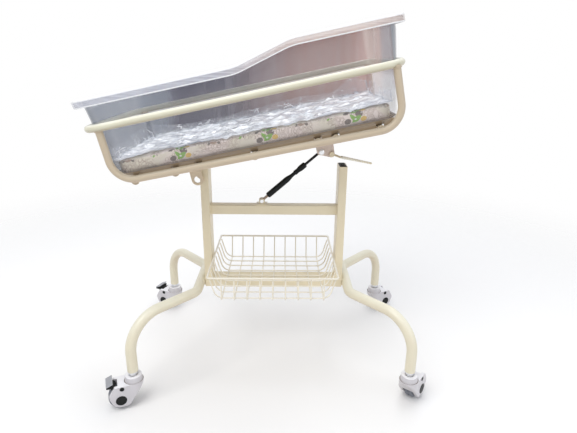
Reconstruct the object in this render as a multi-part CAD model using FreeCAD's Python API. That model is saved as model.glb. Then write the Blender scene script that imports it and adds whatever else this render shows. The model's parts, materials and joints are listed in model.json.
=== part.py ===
import FreeCAD, Part
import math
import os

# Hospital bassinet: a clear tub in a tilting tube cradle, carried by two uprights on
# bent-tube legs with four hooded casters.  Millimetres, +Z up, floor at Z = 0, X along
# the tub, the front towards -Y.  The tray is drawn level, with its pivot as origin,
# and is then tilted about that pivot.

# ---- place of the base, so that the origin lies under the middle of the whole object
BASE_X = 21.7
BASE_Y = -2.6

# ---- legs
LEG_TUBE = 30.0
LEG_WALL = 2.0
LEG_HALF_X = 394.0          # caster stems from the middle, along the tub
LEG_HALF_Y = 270.0          # caster stems from the middle, across the tub
ARM_HEIGHT = 263.0          # centre line of the level arms
KNEE_HALF_Y = 96.0          # where the arms turn to run along the upright
LEG_BEND = 100.0
KNEE_BEND = 46.0

# ---- H frame
UPRIGHT_SPAN = 440.0        # outside to outside
UPRIGHT_WIDTH = 25.0
UPRIGHT_DEPTH = 60.0
UPRIGHT_WALL = 2.0
UPRIGHT_UNDER_PIVOT = 8.5     # its open top, from the tray pivot
SIDE_BOLT_DROP = 66.5         # bolt in the foot-end upright, from the upright's top
PROFILE_CORNER = 3.0        # outside corner radius of all the rectangular tube
LOWER_BEAM_HEIGHT = 25.0
CROSSBAR_SIZE = 30.0
CROSSBAR_TOP = 517.5
PLUG_DEPTH = 14.0
PLUG_CROWN = 1.5

# ---- tray pivot
PIVOT_HEIGHT = 652.0
SLEEVE_DIAMETER = 25.0
BUSH_DIAMETER = 16.0
BUSH_FLANGE = 24.0
PIVOT_BOLT = 12.0
RUNNING_GAP = 0.05          # radial, of every shaft in its bore
SEAT_GAP = 0.3              # between pieces that move or lift apart
TRAY_TILT = 12.35           # head end up, as it stands

# ---- tray frame, level, seen from its pivot
RING_TUBE = 19.0
RING_WALL = 1.5
RING_END_GAP = 5.0            # from the tub's end wall to the ring
RING_SIDE_GAP = 13.5          # from the tub's side wall to the ring
RING_CORNER = 65.0
RING_AHEAD = 170.0          # middle of the ring from the pivot
RING_HEIGHT = 171.5         # centre line above the pivot
CRADLE_SIDE_GAP = 3.5         # from the tub's side wall to the cradle tubes
CRADLE_FOOT_DROP = 144.5    # its long run under the ring at the foot end, centre to centre
CRADLE_HEAD_DROP = 153.5    # and at the head end
CRADLE_BEND = 58.0
CRADLE_FOOT_INSET = 51.5    # foot-end leg from the ring's outside end
CRADLE_HEAD_INSET = 32.5    # head-end leg from the ring's outside end
CROSS_DROP = 151.0          # cross tubes under the ring, centre to centre
CROSS_PLACES = (-150.0, -42.0, 20.0, 170.0, 338.0, 384.0, 500.0)

# ---- ears that carry the pivot bolt and a free eye
EAR_THICKNESS = 4.0
EAR_GAP = 5.0               # from the upright's face to the ear
EAR_EYE_BACK = 28.0         # eye behind the pivot
EAR_EYE_DROP = 43.5         # eye below the pivot
EAR_EYE_HOLE = 20.0
EAR_EYE_RIM = 7.5
EAR_PIVOT_RIM = 12.0

# ---- gas spring
SPRING_FOOT_X = -37.0       # lower pin, from the middle of the base
SPRING_FOOT_RISE = 11.5     # lower pin above the crossbar
SPRING_HEAD_AHEAD = 348.0   # upper pin from the tray pivot, tray level
SPRING_HEAD_DROP = 42.5
SPRING_PIN = 8.0
SPRING_EYE_RADIUS = 8.0
SPRING_EYE_THICKNESS = 10.0
SPRING_BODY_DIAMETER = 18.0
SPRING_BODY_WALL = 1.5
SPRING_BODY_START = 24.0    # from the lower pin, along the spring
SPRING_BODY_LENGTH = 152.0
SPRING_ROD = 8.0
SPRING_HEAD_PLAY = 2.0      # radial, at the upper pin
SHEET = 3.0                 # folded brackets
FOOT_PLATE_LENGTH = 34.0
FOOT_PLATE_WIDTH = 30.0
HEAD_CHEEK_GAP = 28.0       # between the cheeks under the tray
HEAD_BRACKET_START = 334.0  # from the tray pivot
HEAD_BRACKET_END = 388.0

# ---- release lever
LEVER_AHEAD = 377.0
LEVER_DROP = 55.0
LEVER_ROD = 6.0
LEVER_SHAFT = 8.0
LEVER_REACH = 107.0
LEVER_FALL = 46.0           # its tip below its shaft
LEVER_CLEARANCE = 3.0       # beside the upright that it passes

# ---- tub
TUB_LENGTH = 789.0          # outside, at the height of the ring
TUB_WIDTH = 386.0
TUB_AHEAD = 0.5             # middle of the tub from the middle of the ring
TUB_WALL = 4.0
TUB_END_DRAFT = 6.5
TUB_SIDE_DRAFT = 2.2
TUB_CORNER = 48.0
TUB_FLOOR_EDGE = 22.0
RIM_LOW = 74.0              # over the ring
RIM_HIGH = 110.5
RIM_RISE_START = 0.0        # from the middle of the tub
RIM_RISE_END = 137.0
RIM_EASE = 130.0            # radius where the slope meets the level rim
RIM_OVERHANG = 25.0
RIM_LIP = 21.0
RIM_THICKNESS = 3.5

# ---- mattress and its clear cover
MATTRESS_THICKNESS = 42.0
MATTRESS_GAP = 2.0
MATTRESS_EDGE = 18.0
COVER_THICKNESS = 4.0
COVER_RISE = 46.0           # how far it stands up against the ends

# ---- basket
BASKET_HEIGHT = 70.0
BASKET_RIM_DIAMETER = 6.0
BASKET_WIRE = 4.0
BASKET_RIM_WIDTH = 342.0    # across the tub, centre line of the rim
BASKET_FLOOR_FRONT = 171.0  # front and rear edges of the floor, from the middle
BASKET_FLOOR_REAR = 143.0
BASKET_FLOOR_LENGTH = 332.0
BASKET_SIDE_GAP = 2.0       # from the rim to the upright
BASKET_RIM_CORNER = 7.0
BASKET_COUNT_ACROSS = 9
BASKET_COUNT_ALONG = 9
BASKET_PITCH_ACROSS = 37.5
BASKET_BEND = 6.0           # of the wires across
BASKET_END_BEND = 30.0      # of the wires along

# ---- casters
CASTER_HEIGHT = 105.5
WHEEL_DIAMETER = 67.0
WHEEL_WIDTH = 28.0
CASTER_TRAIL = 39.2
HOOD_WIDTH = 54.0
HOOD_SLOT = 34.0            # room for the wheel between the cheeks
HOOD_TOP = 77.5
HOOD_NOSE_FOOT = 40.0       # lower edge of the nose in front of the wheel
HOOD_CHIN = 75.0            # where the nose starts to slant back
HOOD_TOE = 19.0             # front end of the cheeks' lower edge, from the stem
HOOD_FOOT = 12.5            # lower edge of the cheeks
HOOD_BACK = 54.0            # end of the cheeks' tops, from the stem
HOOD_BULGE = 70.0           # their furthest point, behind the axle
HOOD_ROOF_END = 45.0        # end of the roof between the cheeks
COLLAR_RADIUS = 25.0
COLLAR_TAPER = 1.8
COLLAR_RISE = 17.0
GROOVE_WIDTH = 1.8
GROOVE_DEPTH = 3.0
STEM_DIAMETER = 22.0
STEM_PIN = 12.0
STEM_PIN_FOOT = 56.0        # lower end of the pin in the hood
STEM_INSERT = 32.0          # up inside the leg
AXLE = 10.0
HUB_CAP = 30.0
BUTTON = 12.4               # small cap on each cheek above the axle
BUTTON_TRAIL = 34.6
BUTTON_HEIGHT = 70.0
BUTTON_STUB = 5.0
CAP_RISE = 1.2
PEDAL_JOURNAL = 4.0
PEDAL_HUB = 7.0
PEDAL_TRAIL = 53.0
PEDAL_HEIGHT = 70.0
PEDAL_WIDTH = 44.0
PEDAL_REACH = 22.0          # of the pad behind its journal
HEADINGS = {"front_left": 201.7, "rear_left": 156.4, "front_right": 51.5, "rear_right": 27.5}
BRAKED = ("front_left", "rear_left")

# ---- worked out from the above
UPRIGHT_TOP = PIVOT_HEIGHT - UPRIGHT_UNDER_PIVOT
UPRIGHT_X = UPRIGHT_SPAN / 2 - UPRIGHT_WIDTH / 2
UPRIGHT_INNER = UPRIGHT_SPAN / 2 - UPRIGHT_WIDTH
LEG_RUN_X = UPRIGHT_SPAN / 2 + LEG_TUBE / 2
UPRIGHT_FOOT = ARM_HEIGHT - LEG_TUBE / 2
BEAM_TOP = UPRIGHT_FOOT + LOWER_BEAM_HEIGHT
EAR_Y = UPRIGHT_DEPTH / 2 + EAR_GAP
RING_LENGTH = TUB_LENGTH + 2 * (RING_END_GAP + RING_TUBE)
RING_WIDTH = TUB_WIDTH + 2 * (RING_SIDE_GAP + RING_TUBE)
CRADLE_HALF_Y = TUB_WIDTH / 2 + CRADLE_SIDE_GAP + RING_TUBE / 2
CROSS_HEIGHT = RING_HEIGHT - CROSS_DROP
TUB_X = RING_AHEAD + TUB_AHEAD
TUB_FLOOR = CROSS_HEIGHT + RING_TUBE / 2 + SEAT_GAP
MATTRESS_BASE = TUB_FLOOR + TUB_WALL + SEAT_GAP
MATTRESS_TOP = MATTRESS_BASE + MATTRESS_THICKNESS
SPRING_FOOT_Z = CROSSBAR_TOP + SPRING_FOOT_RISE
WHEEL_RADIUS = WHEEL_DIAMETER / 2
CHEEK_Y = HEAD_CHEEK_GAP / 2

X = FreeCAD.Vector(1, 0, 0)
Y = FreeCAD.Vector(0, 1, 0)
Z = FreeCAD.Vector(0, 0, 1)


def at(x, y, z):
    return FreeCAD.Vector(x, y, z)


# ---------------------------------------------------------------- general shapes

def bent_path(points, radius, closed=False):
    """Wire through the points, with every corner rounded to the radius."""
    count = len(points)
    radii = radius if isinstance(radius, (list, tuple)) else [radius] * count
    corners = range(count) if closed else range(1, count - 1)
    bends = {}
    for i in corners:
        corner = points[i]
        back = (points[i - 1] - corner).normalize()
        ahead = (points[(i + 1) % count] - corner).normalize()
        half = back.getAngle(ahead) / 2
        reach = radii[i] / math.tan(half)
        inward = (back + ahead).normalize() * (radii[i] / math.sin(half) - radii[i])
        bends[i] = (corner + back * reach, corner + inward, corner + ahead * reach)
    edges = []
    last = bends[0][2] if closed else points[0]
    for i in list(range(1, count)) + ([0] if closed else []):
        target = bends[i][0] if i in bends else points[i]
        if (target - last).Length > 1e-6:
            edges.append(Part.makeLine(last, target))
        last = target
        if i in bends:
            edges.append(Part.Arc(*bends[i]).toShape())
            last = bends[i][2]
    return Part.Wire(edges)


def sweep(path, diameter):
    """Round bar along a path."""
    first = path.Edges[0]
    start = first.valueAt(first.FirstParameter)
    along = first.tangentAt(first.FirstParameter)
    circle = Part.Wire(Part.makeCircle(diameter / 2, start, along))
    return path.makePipe(Part.Face(circle))


def round_tube(path, diameter, wall):
    return sweep(path, diameter).cut(sweep(path, diameter - 2 * wall))


def cylinder(diameter, start, end):
    run = end - start
    return Part.makeCylinder(diameter / 2, run.Length, start, run)


def across(diameter, x, z, y_from, y_to):
    """Cylinder along Y."""
    return cylinder(diameter, at(x, y_from, z), at(x, y_to, z))


def outline_wire(points, radius=0.0, corners=None):
    """Closed flat wire; corners gives each corner its own radius."""
    radii = corners or [radius] * len(points)
    if not any(radii):
        return Part.makePolygon(list(points) + [points[0]])
    return bent_path(points, [max(r, 0.01) for r in radii], closed=True)


def side_plate(points, y_from, y_to, radius=0.0, corners=None):
    """Plate whose outline lies in the XZ plane, thick along Y."""
    wire = outline_wire([at(x, y_from, z) for x, z in points], radius, corners)
    return Part.Face(wire).extrude(at(0, y_to - y_from, 0))


def rounded_rectangle(half_x, half_y, radius, x=0.0, y=0.0, z=0.0):
    points = [at(x + half_x * i, y + half_y * j, z) for i, j in ((1, -1), (1, 1), (-1, 1), (-1, -1))]
    return outline_wire(points, radius)


def rectangular_tube(size_x, size_y, length, wall, corner):
    """Upright rectangular tube standing on Z = 0."""
    outer = Part.Face(rounded_rectangle(size_x / 2, size_y / 2, corner))
    inner = Part.Face(rounded_rectangle(size_x / 2 - wall, size_y / 2 - wall, max(corner - wall, 0.5)))
    return outer.cut(inner).extrude(at(0, 0, length))


def lying_tube(size_y, size_z, half_length, z_middle, wall, corner):
    """Rectangular tube along X, centred on X = 0 and Y = 0."""
    bar = rectangular_tube(size_z, size_y, 2 * half_length, wall, corner)
    bar.rotate(at(0, 0, 0), Y, 90)
    bar.translate(at(-half_length, 0, z_middle))
    return bar


def hexagon(width, x, z, y_from, y_to):
    corner = width / math.sqrt(3)
    points = [(x + corner * math.cos(math.radians(60 * i)), z + corner * math.sin(math.radians(60 * i)))
              for i in range(6)]
    return side_plate(points, y_from, y_to)


def revolved(points, place=None):
    """Solid of revolution about Z from (radius, height) points."""
    wire = Part.makePolygon([at(r, 0, z) for r, z in list(points) + [points[0]]])
    solid = Part.Face(wire).revolve(at(0, 0, 0), Z, 360)
    if place:
        solid.translate(place)
    return solid


def on_tray(shape):
    """Tilts a piece drawn on the level tray and puts it on its pivot."""
    placed = shape.copy()
    placed.rotate(at(0, 0, 0), Y, -TRAY_TILT)
    placed.translate(at(-UPRIGHT_X, 0, PIVOT_HEIGHT))
    return placed


def tray_point(ahead, height):
    """A point of the level tray, from its pivot, where it is once tilted."""
    tilt = math.radians(TRAY_TILT)
    return at(-UPRIGHT_X + ahead * math.cos(tilt) - height * math.sin(tilt), 0,
              PIVOT_HEIGHT + ahead * math.sin(tilt) + height * math.cos(tilt))


def save(node, *shapes):
    shape = shapes[0] if len(shapes) == 1 else Part.makeCompound(list(shapes))
    placed = shape.copy()
    placed.translate(at(BASE_X, BASE_Y, 0))
    placed.exportStep(os.path.join("parts", node + ".step"))


# ---------------------------------------------------------------- base

def leg(side):
    """One bent tube: stem, arm, run along the upright, arm, stem."""
    corners = [(LEG_HALF_X, LEG_HALF_Y, CASTER_HEIGHT), (LEG_HALF_X, LEG_HALF_Y, ARM_HEIGHT),
               (LEG_RUN_X, KNEE_HALF_Y, ARM_HEIGHT)]
    front = [at(side * x, -y, z) for x, y, z in corners]
    rear = [at(side * x, y, z) for x, y, z in reversed(corners)]
    bends = [0, LEG_BEND, KNEE_BEND, KNEE_BEND, LEG_BEND, 0]
    return round_tube(bent_path(front + rear, bends), LEG_TUBE, LEG_WALL)


def upright(side):
    post = rectangular_tube(UPRIGHT_WIDTH, UPRIGHT_DEPTH, UPRIGHT_TOP - UPRIGHT_FOOT, UPRIGHT_WALL,
                            PROFILE_CORNER)
    post.translate(at(side * UPRIGHT_X, 0, UPRIGHT_FOOT))
    if side < 0:
        post = post.cut(across(SLEEVE_DIAMETER, -UPRIGHT_X, PIVOT_HEIGHT, -UPRIGHT_DEPTH, UPRIGHT_DEPTH))
    return post


def upright_plug():
    """Ribbed plug, flush in the open top of the head-end upright."""
    half_x = UPRIGHT_WIDTH / 2 - UPRIGHT_WALL
    half_y = UPRIGHT_DEPTH / 2 - UPRIGHT_WALL
    crown_inset = 2.5
    rib_inset = 1.2
    cap = Part.Face(rounded_rectangle(half_x, half_y, 1.0)).extrude(at(0, 0, -3.0))
    crown = Part.makeLoft([rounded_rectangle(half_x, half_y, 1.0),
                           rounded_rectangle(half_x - crown_inset, half_y - crown_inset, 1.0,
                                             z=PLUG_CROWN)], True, True)
    stub = Part.Face(rounded_rectangle(half_x - rib_inset, half_y - rib_inset, 1.0)).extrude(
        at(0, 0, -PLUG_DEPTH))
    plug = cap.fuse([crown, stub])
    plug.translate(at(UPRIGHT_X, 0, UPRIGHT_TOP))
    return plug


def pivot_sleeve():
    half = UPRIGHT_DEPTH / 2
    tube = across(SLEEVE_DIAMETER, -UPRIGHT_X, PIVOT_HEIGHT, -half, half)
    return tube.cut(across(BUSH_DIAMETER, -UPRIGHT_X, PIVOT_HEIGHT, -half, half))


def pivot_bush(side):
    """Flanged nylon bush pressed into one end of the sleeve."""
    half = UPRIGHT_DEPTH / 2
    inner = half - 20.0
    flange = EAR_Y - SEAT_GAP
    barrel = across(BUSH_DIAMETER, -UPRIGHT_X, PIVOT_HEIGHT, side * inner, side * half)
    washer = across(BUSH_FLANGE, -UPRIGHT_X, PIVOT_HEIGHT, side * half, side * flange)
    bore = across(PIVOT_BOLT + 2 * RUNNING_GAP, -UPRIGHT_X, PIVOT_HEIGHT, side * inner, side * flange)
    return barrel.fuse(washer).cut(bore)


def side_bolt():
    """Domed head of the bolt in the outer face of the foot-end upright."""
    head_radius = 7.0
    head_rise = 4.0
    ball_radius = head_radius + 1.0
    slab = Part.makeBox(head_rise, 2 * head_radius, 2 * head_radius,
                        at(-ball_radius, -head_radius, -head_radius))
    dome = Part.makeSphere(ball_radius).common(slab)
    dome.translate(at(ball_radius - head_rise - UPRIGHT_SPAN / 2, 0, UPRIGHT_TOP - SIDE_BOLT_DROP))
    return dome


def spring_foot():
    """Plate on the crossbar with two ears for the lower pin of the gas spring."""
    ear_from = SPRING_EYE_THICKNESS / 2 + 0.5
    plate = Part.makeBox(FOOT_PLATE_LENGTH, FOOT_PLATE_WIDTH, SHEET,
                         at(SPRING_FOOT_X - FOOT_PLATE_LENGTH / 2, -FOOT_PLATE_WIDTH / 2, CROSSBAR_TOP))
    ear_half = 9.0
    left, right, ear_top = SPRING_FOOT_X - ear_half, SPRING_FOOT_X + ear_half, SPRING_FOOT_Z + 8.0
    ears = []
    for side in (-1, 1):
        low, high = sorted((side * ear_from, side * (ear_from + SHEET)))
        ears.append(side_plate([(left, CROSSBAR_TOP), (right, CROSSBAR_TOP), (right, ear_top),
                                (left, ear_top)], low, high, corners=[0, 0, 7.5, 7.5]))
    outside = ear_from + SHEET
    return plate.fuse(ears).cut(across(SPRING_PIN, SPRING_FOOT_X, SPRING_FOOT_Z, -outside, outside))


def headed_pin(diameter, x, z, y_from, y_to, head, head_rise):
    """Pin along Y with a flat head at each end."""
    shank = across(diameter, x, z, y_from, y_to)
    near = across(head, x, z, y_from - head_rise, y_from)
    far = across(head, x, z, y_to, y_to + head_rise)
    return shank.fuse([near, far])


def build_base():
    for side, name in ((-1, "left"), (1, "right")):
        save("leg_" + name, leg(side))
        save("upright_" + name, upright(side))
    save("lower_beam", lying_tube(UPRIGHT_DEPTH, LOWER_BEAM_HEIGHT, UPRIGHT_INNER,
                                  UPRIGHT_FOOT + LOWER_BEAM_HEIGHT / 2, UPRIGHT_WALL, PROFILE_CORNER))
    save("crossbar", lying_tube(CROSSBAR_SIZE, CROSSBAR_SIZE, UPRIGHT_INNER,
                                CROSSBAR_TOP - CROSSBAR_SIZE / 2, UPRIGHT_WALL, PROFILE_CORNER))
    save("upright_plug", upright_plug())
    save("pivot_sleeve", pivot_sleeve())
    save("pivot_bushes", pivot_bush(-1), pivot_bush(1))
    save("upright_side_bolt", side_bolt())
    save("spring_foot", spring_foot())
    reach = SPRING_EYE_THICKNESS / 2 + 0.5 + SHEET
    save("spring_foot_pin", headed_pin(SPRING_PIN, SPRING_FOOT_X, SPRING_FOOT_Z, -reach, reach, 12.0, 2.5))


# ---------------------------------------------------------------- tray frame

def ring_path():
    half_x = RING_LENGTH / 2 - RING_TUBE / 2
    half_y = RING_WIDTH / 2 - RING_TUBE / 2
    return rounded_rectangle(half_x, half_y, RING_CORNER, x=RING_AHEAD, z=RING_HEIGHT)


def cradle_path(side):
    """U under the ring: down at the foot end, along, and up at the head end."""
    foot = RING_AHEAD - RING_LENGTH / 2 + CRADLE_FOOT_INSET
    head = RING_AHEAD + RING_LENGTH / 2 - CRADLE_HEAD_INSET
    y = side * CRADLE_HALF_Y
    top = RING_HEIGHT - 2.0
    points = [at(foot, y, top), at(foot, y, RING_HEIGHT - CRADLE_FOOT_DROP),
              at(head, y, RING_HEIGHT - CRADLE_HEAD_DROP), at(head, y, top)]
    return bent_path(points, CRADLE_BEND)


def cross_tube(x, cradles):
    """Bearer of the tub, coped onto both cradle tubes."""
    tube = across(RING_TUBE, x, CROSS_HEIGHT, -CRADLE_HALF_Y, CRADLE_HALF_Y)
    bore = across(RING_TUBE - 2 * RING_WALL, x, CROSS_HEIGHT, -CRADLE_HALF_Y, CRADLE_HALF_Y)
    piece = tube.cut(bore).cut(cradles)
    return max(piece.Solids, key=lambda solid: solid.Volume)


def pivot_ear(side, bearers):
    """Plate under the tray with the pivot hole and a free eye at its foot."""
    low, high = sorted((side * EAR_Y, side * (EAR_Y + EAR_THICKNESS)))
    eye_radius = EAR_EYE_HOLE / 2 + EAR_EYE_RIM
    pivot_radius = PIVOT_BOLT / 2 + EAR_PIVOT_RIM
    eye_x, eye_z = -EAR_EYE_BACK, -EAR_EYE_DROP
    body = side_plate([(eye_x - eye_radius, CROSS_HEIGHT), (eye_x - eye_radius, eye_z),
                       (eye_x + eye_radius, eye_z), (eye_x + eye_radius, 0),
                       (pivot_radius, 0), (pivot_radius, CROSS_HEIGHT)], low, high)
    plate = body.fuse([across(2 * eye_radius, eye_x, eye_z, low, high),
                       across(2 * pivot_radius, 0, 0, low, high)])
    holes = [across(EAR_EYE_HOLE, eye_x, eye_z, low, high), across(PIVOT_BOLT, 0, 0, low, high)]
    return plate.cut(holes + bearers).removeSplitter()


def pivot_bolt():
    """Hexagon bolt through both ears, with its nut and two washers."""
    outside = EAR_Y + EAR_THICKNESS
    washer = 2.0
    head = 7.5
    nut = 10.0
    shank = across(PIVOT_BOLT, 0, 0, -outside - washer, outside + washer + nut + 3.0)
    front = across(2 * PIVOT_BOLT, 0, 0, -outside - washer, -outside)
    rear = across(2 * PIVOT_BOLT, 0, 0, outside, outside + washer)
    bolt_head = hexagon(19.0, 0, 0, -outside - washer - head, -outside - washer)
    bolt_nut = hexagon(19.0, 0, 0, outside + washer, outside + washer + nut)
    return shank.fuse([front, rear, bolt_head, bolt_nut])


def head_bracket(bearers):
    """Folded sheet under the cross tubes: two cheeks and the web that joins them."""
    top = CROSS_HEIGHT
    web_top = CROSS_HEIGHT - RING_TUBE / 2
    pin_x, pin_z = SPRING_HEAD_AHEAD, -SPRING_HEAD_DROP
    round_end = 11.0
    outline = [(HEAD_BRACKET_START, top), (HEAD_BRACKET_START + 1.5, pin_z - 6),
               (pin_x + 2, pin_z - round_end), (LEVER_AHEAD - 4, -LEVER_DROP - 9),
               (LEVER_AHEAD + 8, -LEVER_DROP - 8), (HEAD_BRACKET_END, top)]
    cheeks = []
    for side in (-1, 1):
        low, high = sorted((side * CHEEK_Y, side * (CHEEK_Y + SHEET)))
        cheeks.append(side_plate(outline, low, high, corners=[0, 8, 8, 4, 6, 0]))
    web = Part.makeBox(HEAD_BRACKET_END - HEAD_BRACKET_START - 4, 2 * CHEEK_Y, SHEET,
                       at(HEAD_BRACKET_START + 2, -CHEEK_Y, web_top - SHEET))
    outside = CHEEK_Y + SHEET
    holes = [across(SPRING_PIN, pin_x, pin_z, -outside, outside),
             across(LEVER_SHAFT + 2 * RUNNING_GAP, LEVER_AHEAD, -LEVER_DROP, -outside, outside)]
    return cheeks[0].fuse([cheeks[1], web]).cut(holes + bearers)


def head_pin():
    """Upper pin of the gas spring with its washers and spacer sleeves."""
    x, z = SPRING_HEAD_AHEAD, -SPRING_HEAD_DROP
    outside = CHEEK_Y + SHEET
    inner = SPRING_EYE_THICKNESS / 2 + 1.5
    pin = headed_pin(SPRING_PIN, x, z, -outside - 1.5, outside + 1.5, 13.0, 4.0)
    washers = [across(17.0, x, z, -outside - 1.5, -outside), across(17.0, x, z, outside, outside + 1.5)]
    spacers = [across(13.0, x, z, -CHEEK_Y, -inner), across(13.0, x, z, inner, CHEEK_Y)]
    return pin.fuse(washers + spacers)


def lever():
    """Cranked rod on a cross shaft, with the finger that works the valve."""
    x, z = LEVER_AHEAD, -LEVER_DROP
    outside = CHEEK_Y + SHEET
    hub_y = -outside - SEAT_GAP
    rod_y = hub_y - LEVER_ROD / 2
    far_y = -UPRIGHT_DEPTH / 2 - LEVER_CLEARANCE - LEVER_ROD / 2
    slope = LEVER_FALL / LEVER_REACH
    points = [at(x, rod_y, z), at(x + 8, rod_y, z - 8 * slope), at(x + 20, far_y, z - 20 * slope),
              at(x + LEVER_REACH, far_y, z - LEVER_REACH * slope)]
    handle = sweep(bent_path(points, 7.0), LEVER_ROD)
    tip = Part.makeSphere(LEVER_ROD / 2, points[-1])
    hub = across(15.0, x, z, hub_y - LEVER_ROD, hub_y)
    shaft = across(LEVER_SHAFT, x, z, hub_y - LEVER_ROD, outside + 8.0)
    finger = side_plate([(x - 15, z + 9), (x - 13, z + 1), (x, z - 6), (x + 4, z + 5)], -4, 4, 2.0)
    return shaft.fuse([hub, handle, tip, finger])


def lever_nut():
    outside = CHEEK_Y + SHEET
    ring = hexagon(13.0, LEVER_AHEAD, -LEVER_DROP, outside + SEAT_GAP, outside + 6.5)
    return ring.cut(across(LEVER_SHAFT, LEVER_AHEAD, -LEVER_DROP, outside, outside + 8))


def build_tray():
    ring = sweep(ring_path(), RING_TUBE)
    cradle_bars = [sweep(cradle_path(side), RING_TUBE) for side in (-1, 1)]
    save("tray_ring", on_tray(round_tube(ring_path(), RING_TUBE, RING_WALL)))
    for side, name in ((-1, "front"), (1, "rear")):
        tube = round_tube(cradle_path(side), RING_TUBE, RING_WALL).cut(ring)
        save("cradle_" + name, on_tray(max(tube.Solids, key=lambda solid: solid.Volume)))
    bearers = [across(RING_TUBE, x, CROSS_HEIGHT, -CRADLE_HALF_Y, CRADLE_HALF_Y) for x in CROSS_PLACES]
    for number, x in enumerate(CROSS_PLACES, 1):
        save("cross_tube_%d" % number, on_tray(cross_tube(x, cradle_bars)))
    save("pivot_ear_front", on_tray(pivot_ear(-1, bearers)))
    save("pivot_ear_rear", on_tray(pivot_ear(1, bearers)))
    save("pivot_bolt", on_tray(pivot_bolt()))
    save("spring_head_bracket", on_tray(head_bracket(bearers)))
    save("spring_head_pin", on_tray(head_pin()))
    save("release_lever", on_tray(lever()))
    save("lever_nut", on_tray(lever_nut()))


# ---------------------------------------------------------------- gas spring

def build_spring():
    """Drawn along +X from its lower pin, then turned to reach the upper pin."""
    foot = at(SPRING_FOOT_X, 0, SPRING_FOOT_Z)
    head = tray_point(SPRING_HEAD_AHEAD, -SPRING_HEAD_DROP)
    run = head - foot
    length = run.Length
    angle = math.degrees(math.atan2(run.z, run.x))

    def placed(shape):
        turned = shape.copy()
        turned.rotate(at(0, 0, 0), Y, -angle)
        turned.translate(foot)
        return turned

    def along(diameter, start, end):
        return cylinder(diameter, at(start, 0, 0), at(end, 0, 0))

    half = SPRING_EYE_THICKNESS / 2
    body_end = SPRING_BODY_START + SPRING_BODY_LENGTH
    bore = SPRING_BODY_DIAMETER - 2 * SPRING_BODY_WALL
    neck = 8.0
    lower = across(2 * SPRING_EYE_RADIUS, 0, 0, -half, half).fuse(along(neck, 4, SPRING_BODY_START))
    lower = lower.cut(across(SPRING_PIN + 2 * RUNNING_GAP, 0, 0, -half, half))
    shell = along(SPRING_BODY_DIAMETER, SPRING_BODY_START, body_end)
    rim = [edge for edge in shell.Edges if edge.Closed]
    shell = shell.makeFillet(2.5, rim)
    gland = 12.0
    shell = shell.cut([along(bore, SPRING_BODY_START + 4, body_end - gland),
                       along(SPRING_ROD + 2 * RUNNING_GAP, body_end - gland, body_end)])
    head_radius = SPRING_PIN / 2 + SPRING_HEAD_PLAY + 4.5
    piston_start = body_end - gland - 30.0
    rod_end = length - head_radius + 1.0
    rod = along(SPRING_ROD, piston_start, rod_end)
    piston = along(bore - 2 * RUNNING_GAP, piston_start, piston_start + 8)
    upper = across(2 * head_radius, length, 0, -half, half)
    upper = upper.cut([across(SPRING_PIN + 2 * SPRING_HEAD_PLAY, length, 0, -half, half),
                       along(SPRING_ROD, 0, rod_end)])
    save("spring_lower_eye", placed(lower))
    save("spring_cylinder", placed(shell))
    save("spring_rod", placed(rod.fuse(piston)))
    save("spring_upper_eye", placed(upper))


# ---------------------------------------------------------------- tub, mattress and cover

def tub_block(inset, bottom, top):
    """Drafted block with the tub's plan, inset from its outside."""
    sections = []
    for height in (bottom, top):
        over = height - RING_HEIGHT
        half_x = TUB_LENGTH / 2 + over * math.tan(math.radians(TUB_END_DRAFT)) - inset
        half_y = TUB_WIDTH / 2 + over * math.tan(math.radians(TUB_SIDE_DRAFT)) - inset
        sections.append(rounded_rectangle(half_x, half_y, TUB_CORNER - inset, x=TUB_X, z=height))
    return Part.makeLoft(sections, True, True)


def rounded_block(inset, bottom, top, edge):
    """The same block with its bottom edge rounded."""
    block = tub_block(inset, bottom, top)
    low = [e for e in block.Edges if all(abs(v.Z - bottom) < 1e-6 for v in e.Vertexes)]
    return block.makeFillet(edge, low)


def rim_line(drop):
    """The rim's line in the XZ plane, lowered by drop, from end to end and past them."""
    reach = TUB_LENGTH
    low = RING_HEIGHT + RIM_LOW - drop
    high = RING_HEIGHT + RIM_HIGH - drop
    points = [at(TUB_X - reach, -TUB_WIDTH, low), at(TUB_X + RIM_RISE_START, -TUB_WIDTH, low),
              at(TUB_X + RIM_RISE_END, -TUB_WIDTH, high), at(TUB_X + reach, -TUB_WIDTH, high)]
    return bent_path(points, RIM_EASE)


def under_rim(drop):
    """Everything below the rim's line, lowered by drop."""
    line = rim_line(drop)
    left, right = TUB_X - TUB_LENGTH, TUB_X + TUB_LENGTH
    floor = TUB_FLOOR - RING_TUBE
    ends = [line.Edges[0].valueAt(line.Edges[0].FirstParameter),
            line.Edges[-1].valueAt(line.Edges[-1].LastParameter)]
    closing = Part.makePolygon([ends[1], at(right, -TUB_WIDTH, floor), at(left, -TUB_WIDTH, floor), ends[0]])
    face = Part.Face(Part.Wire(line.Edges + closing.Edges))
    return face.extrude(at(0, 2 * TUB_WIDTH, 0))


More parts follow.
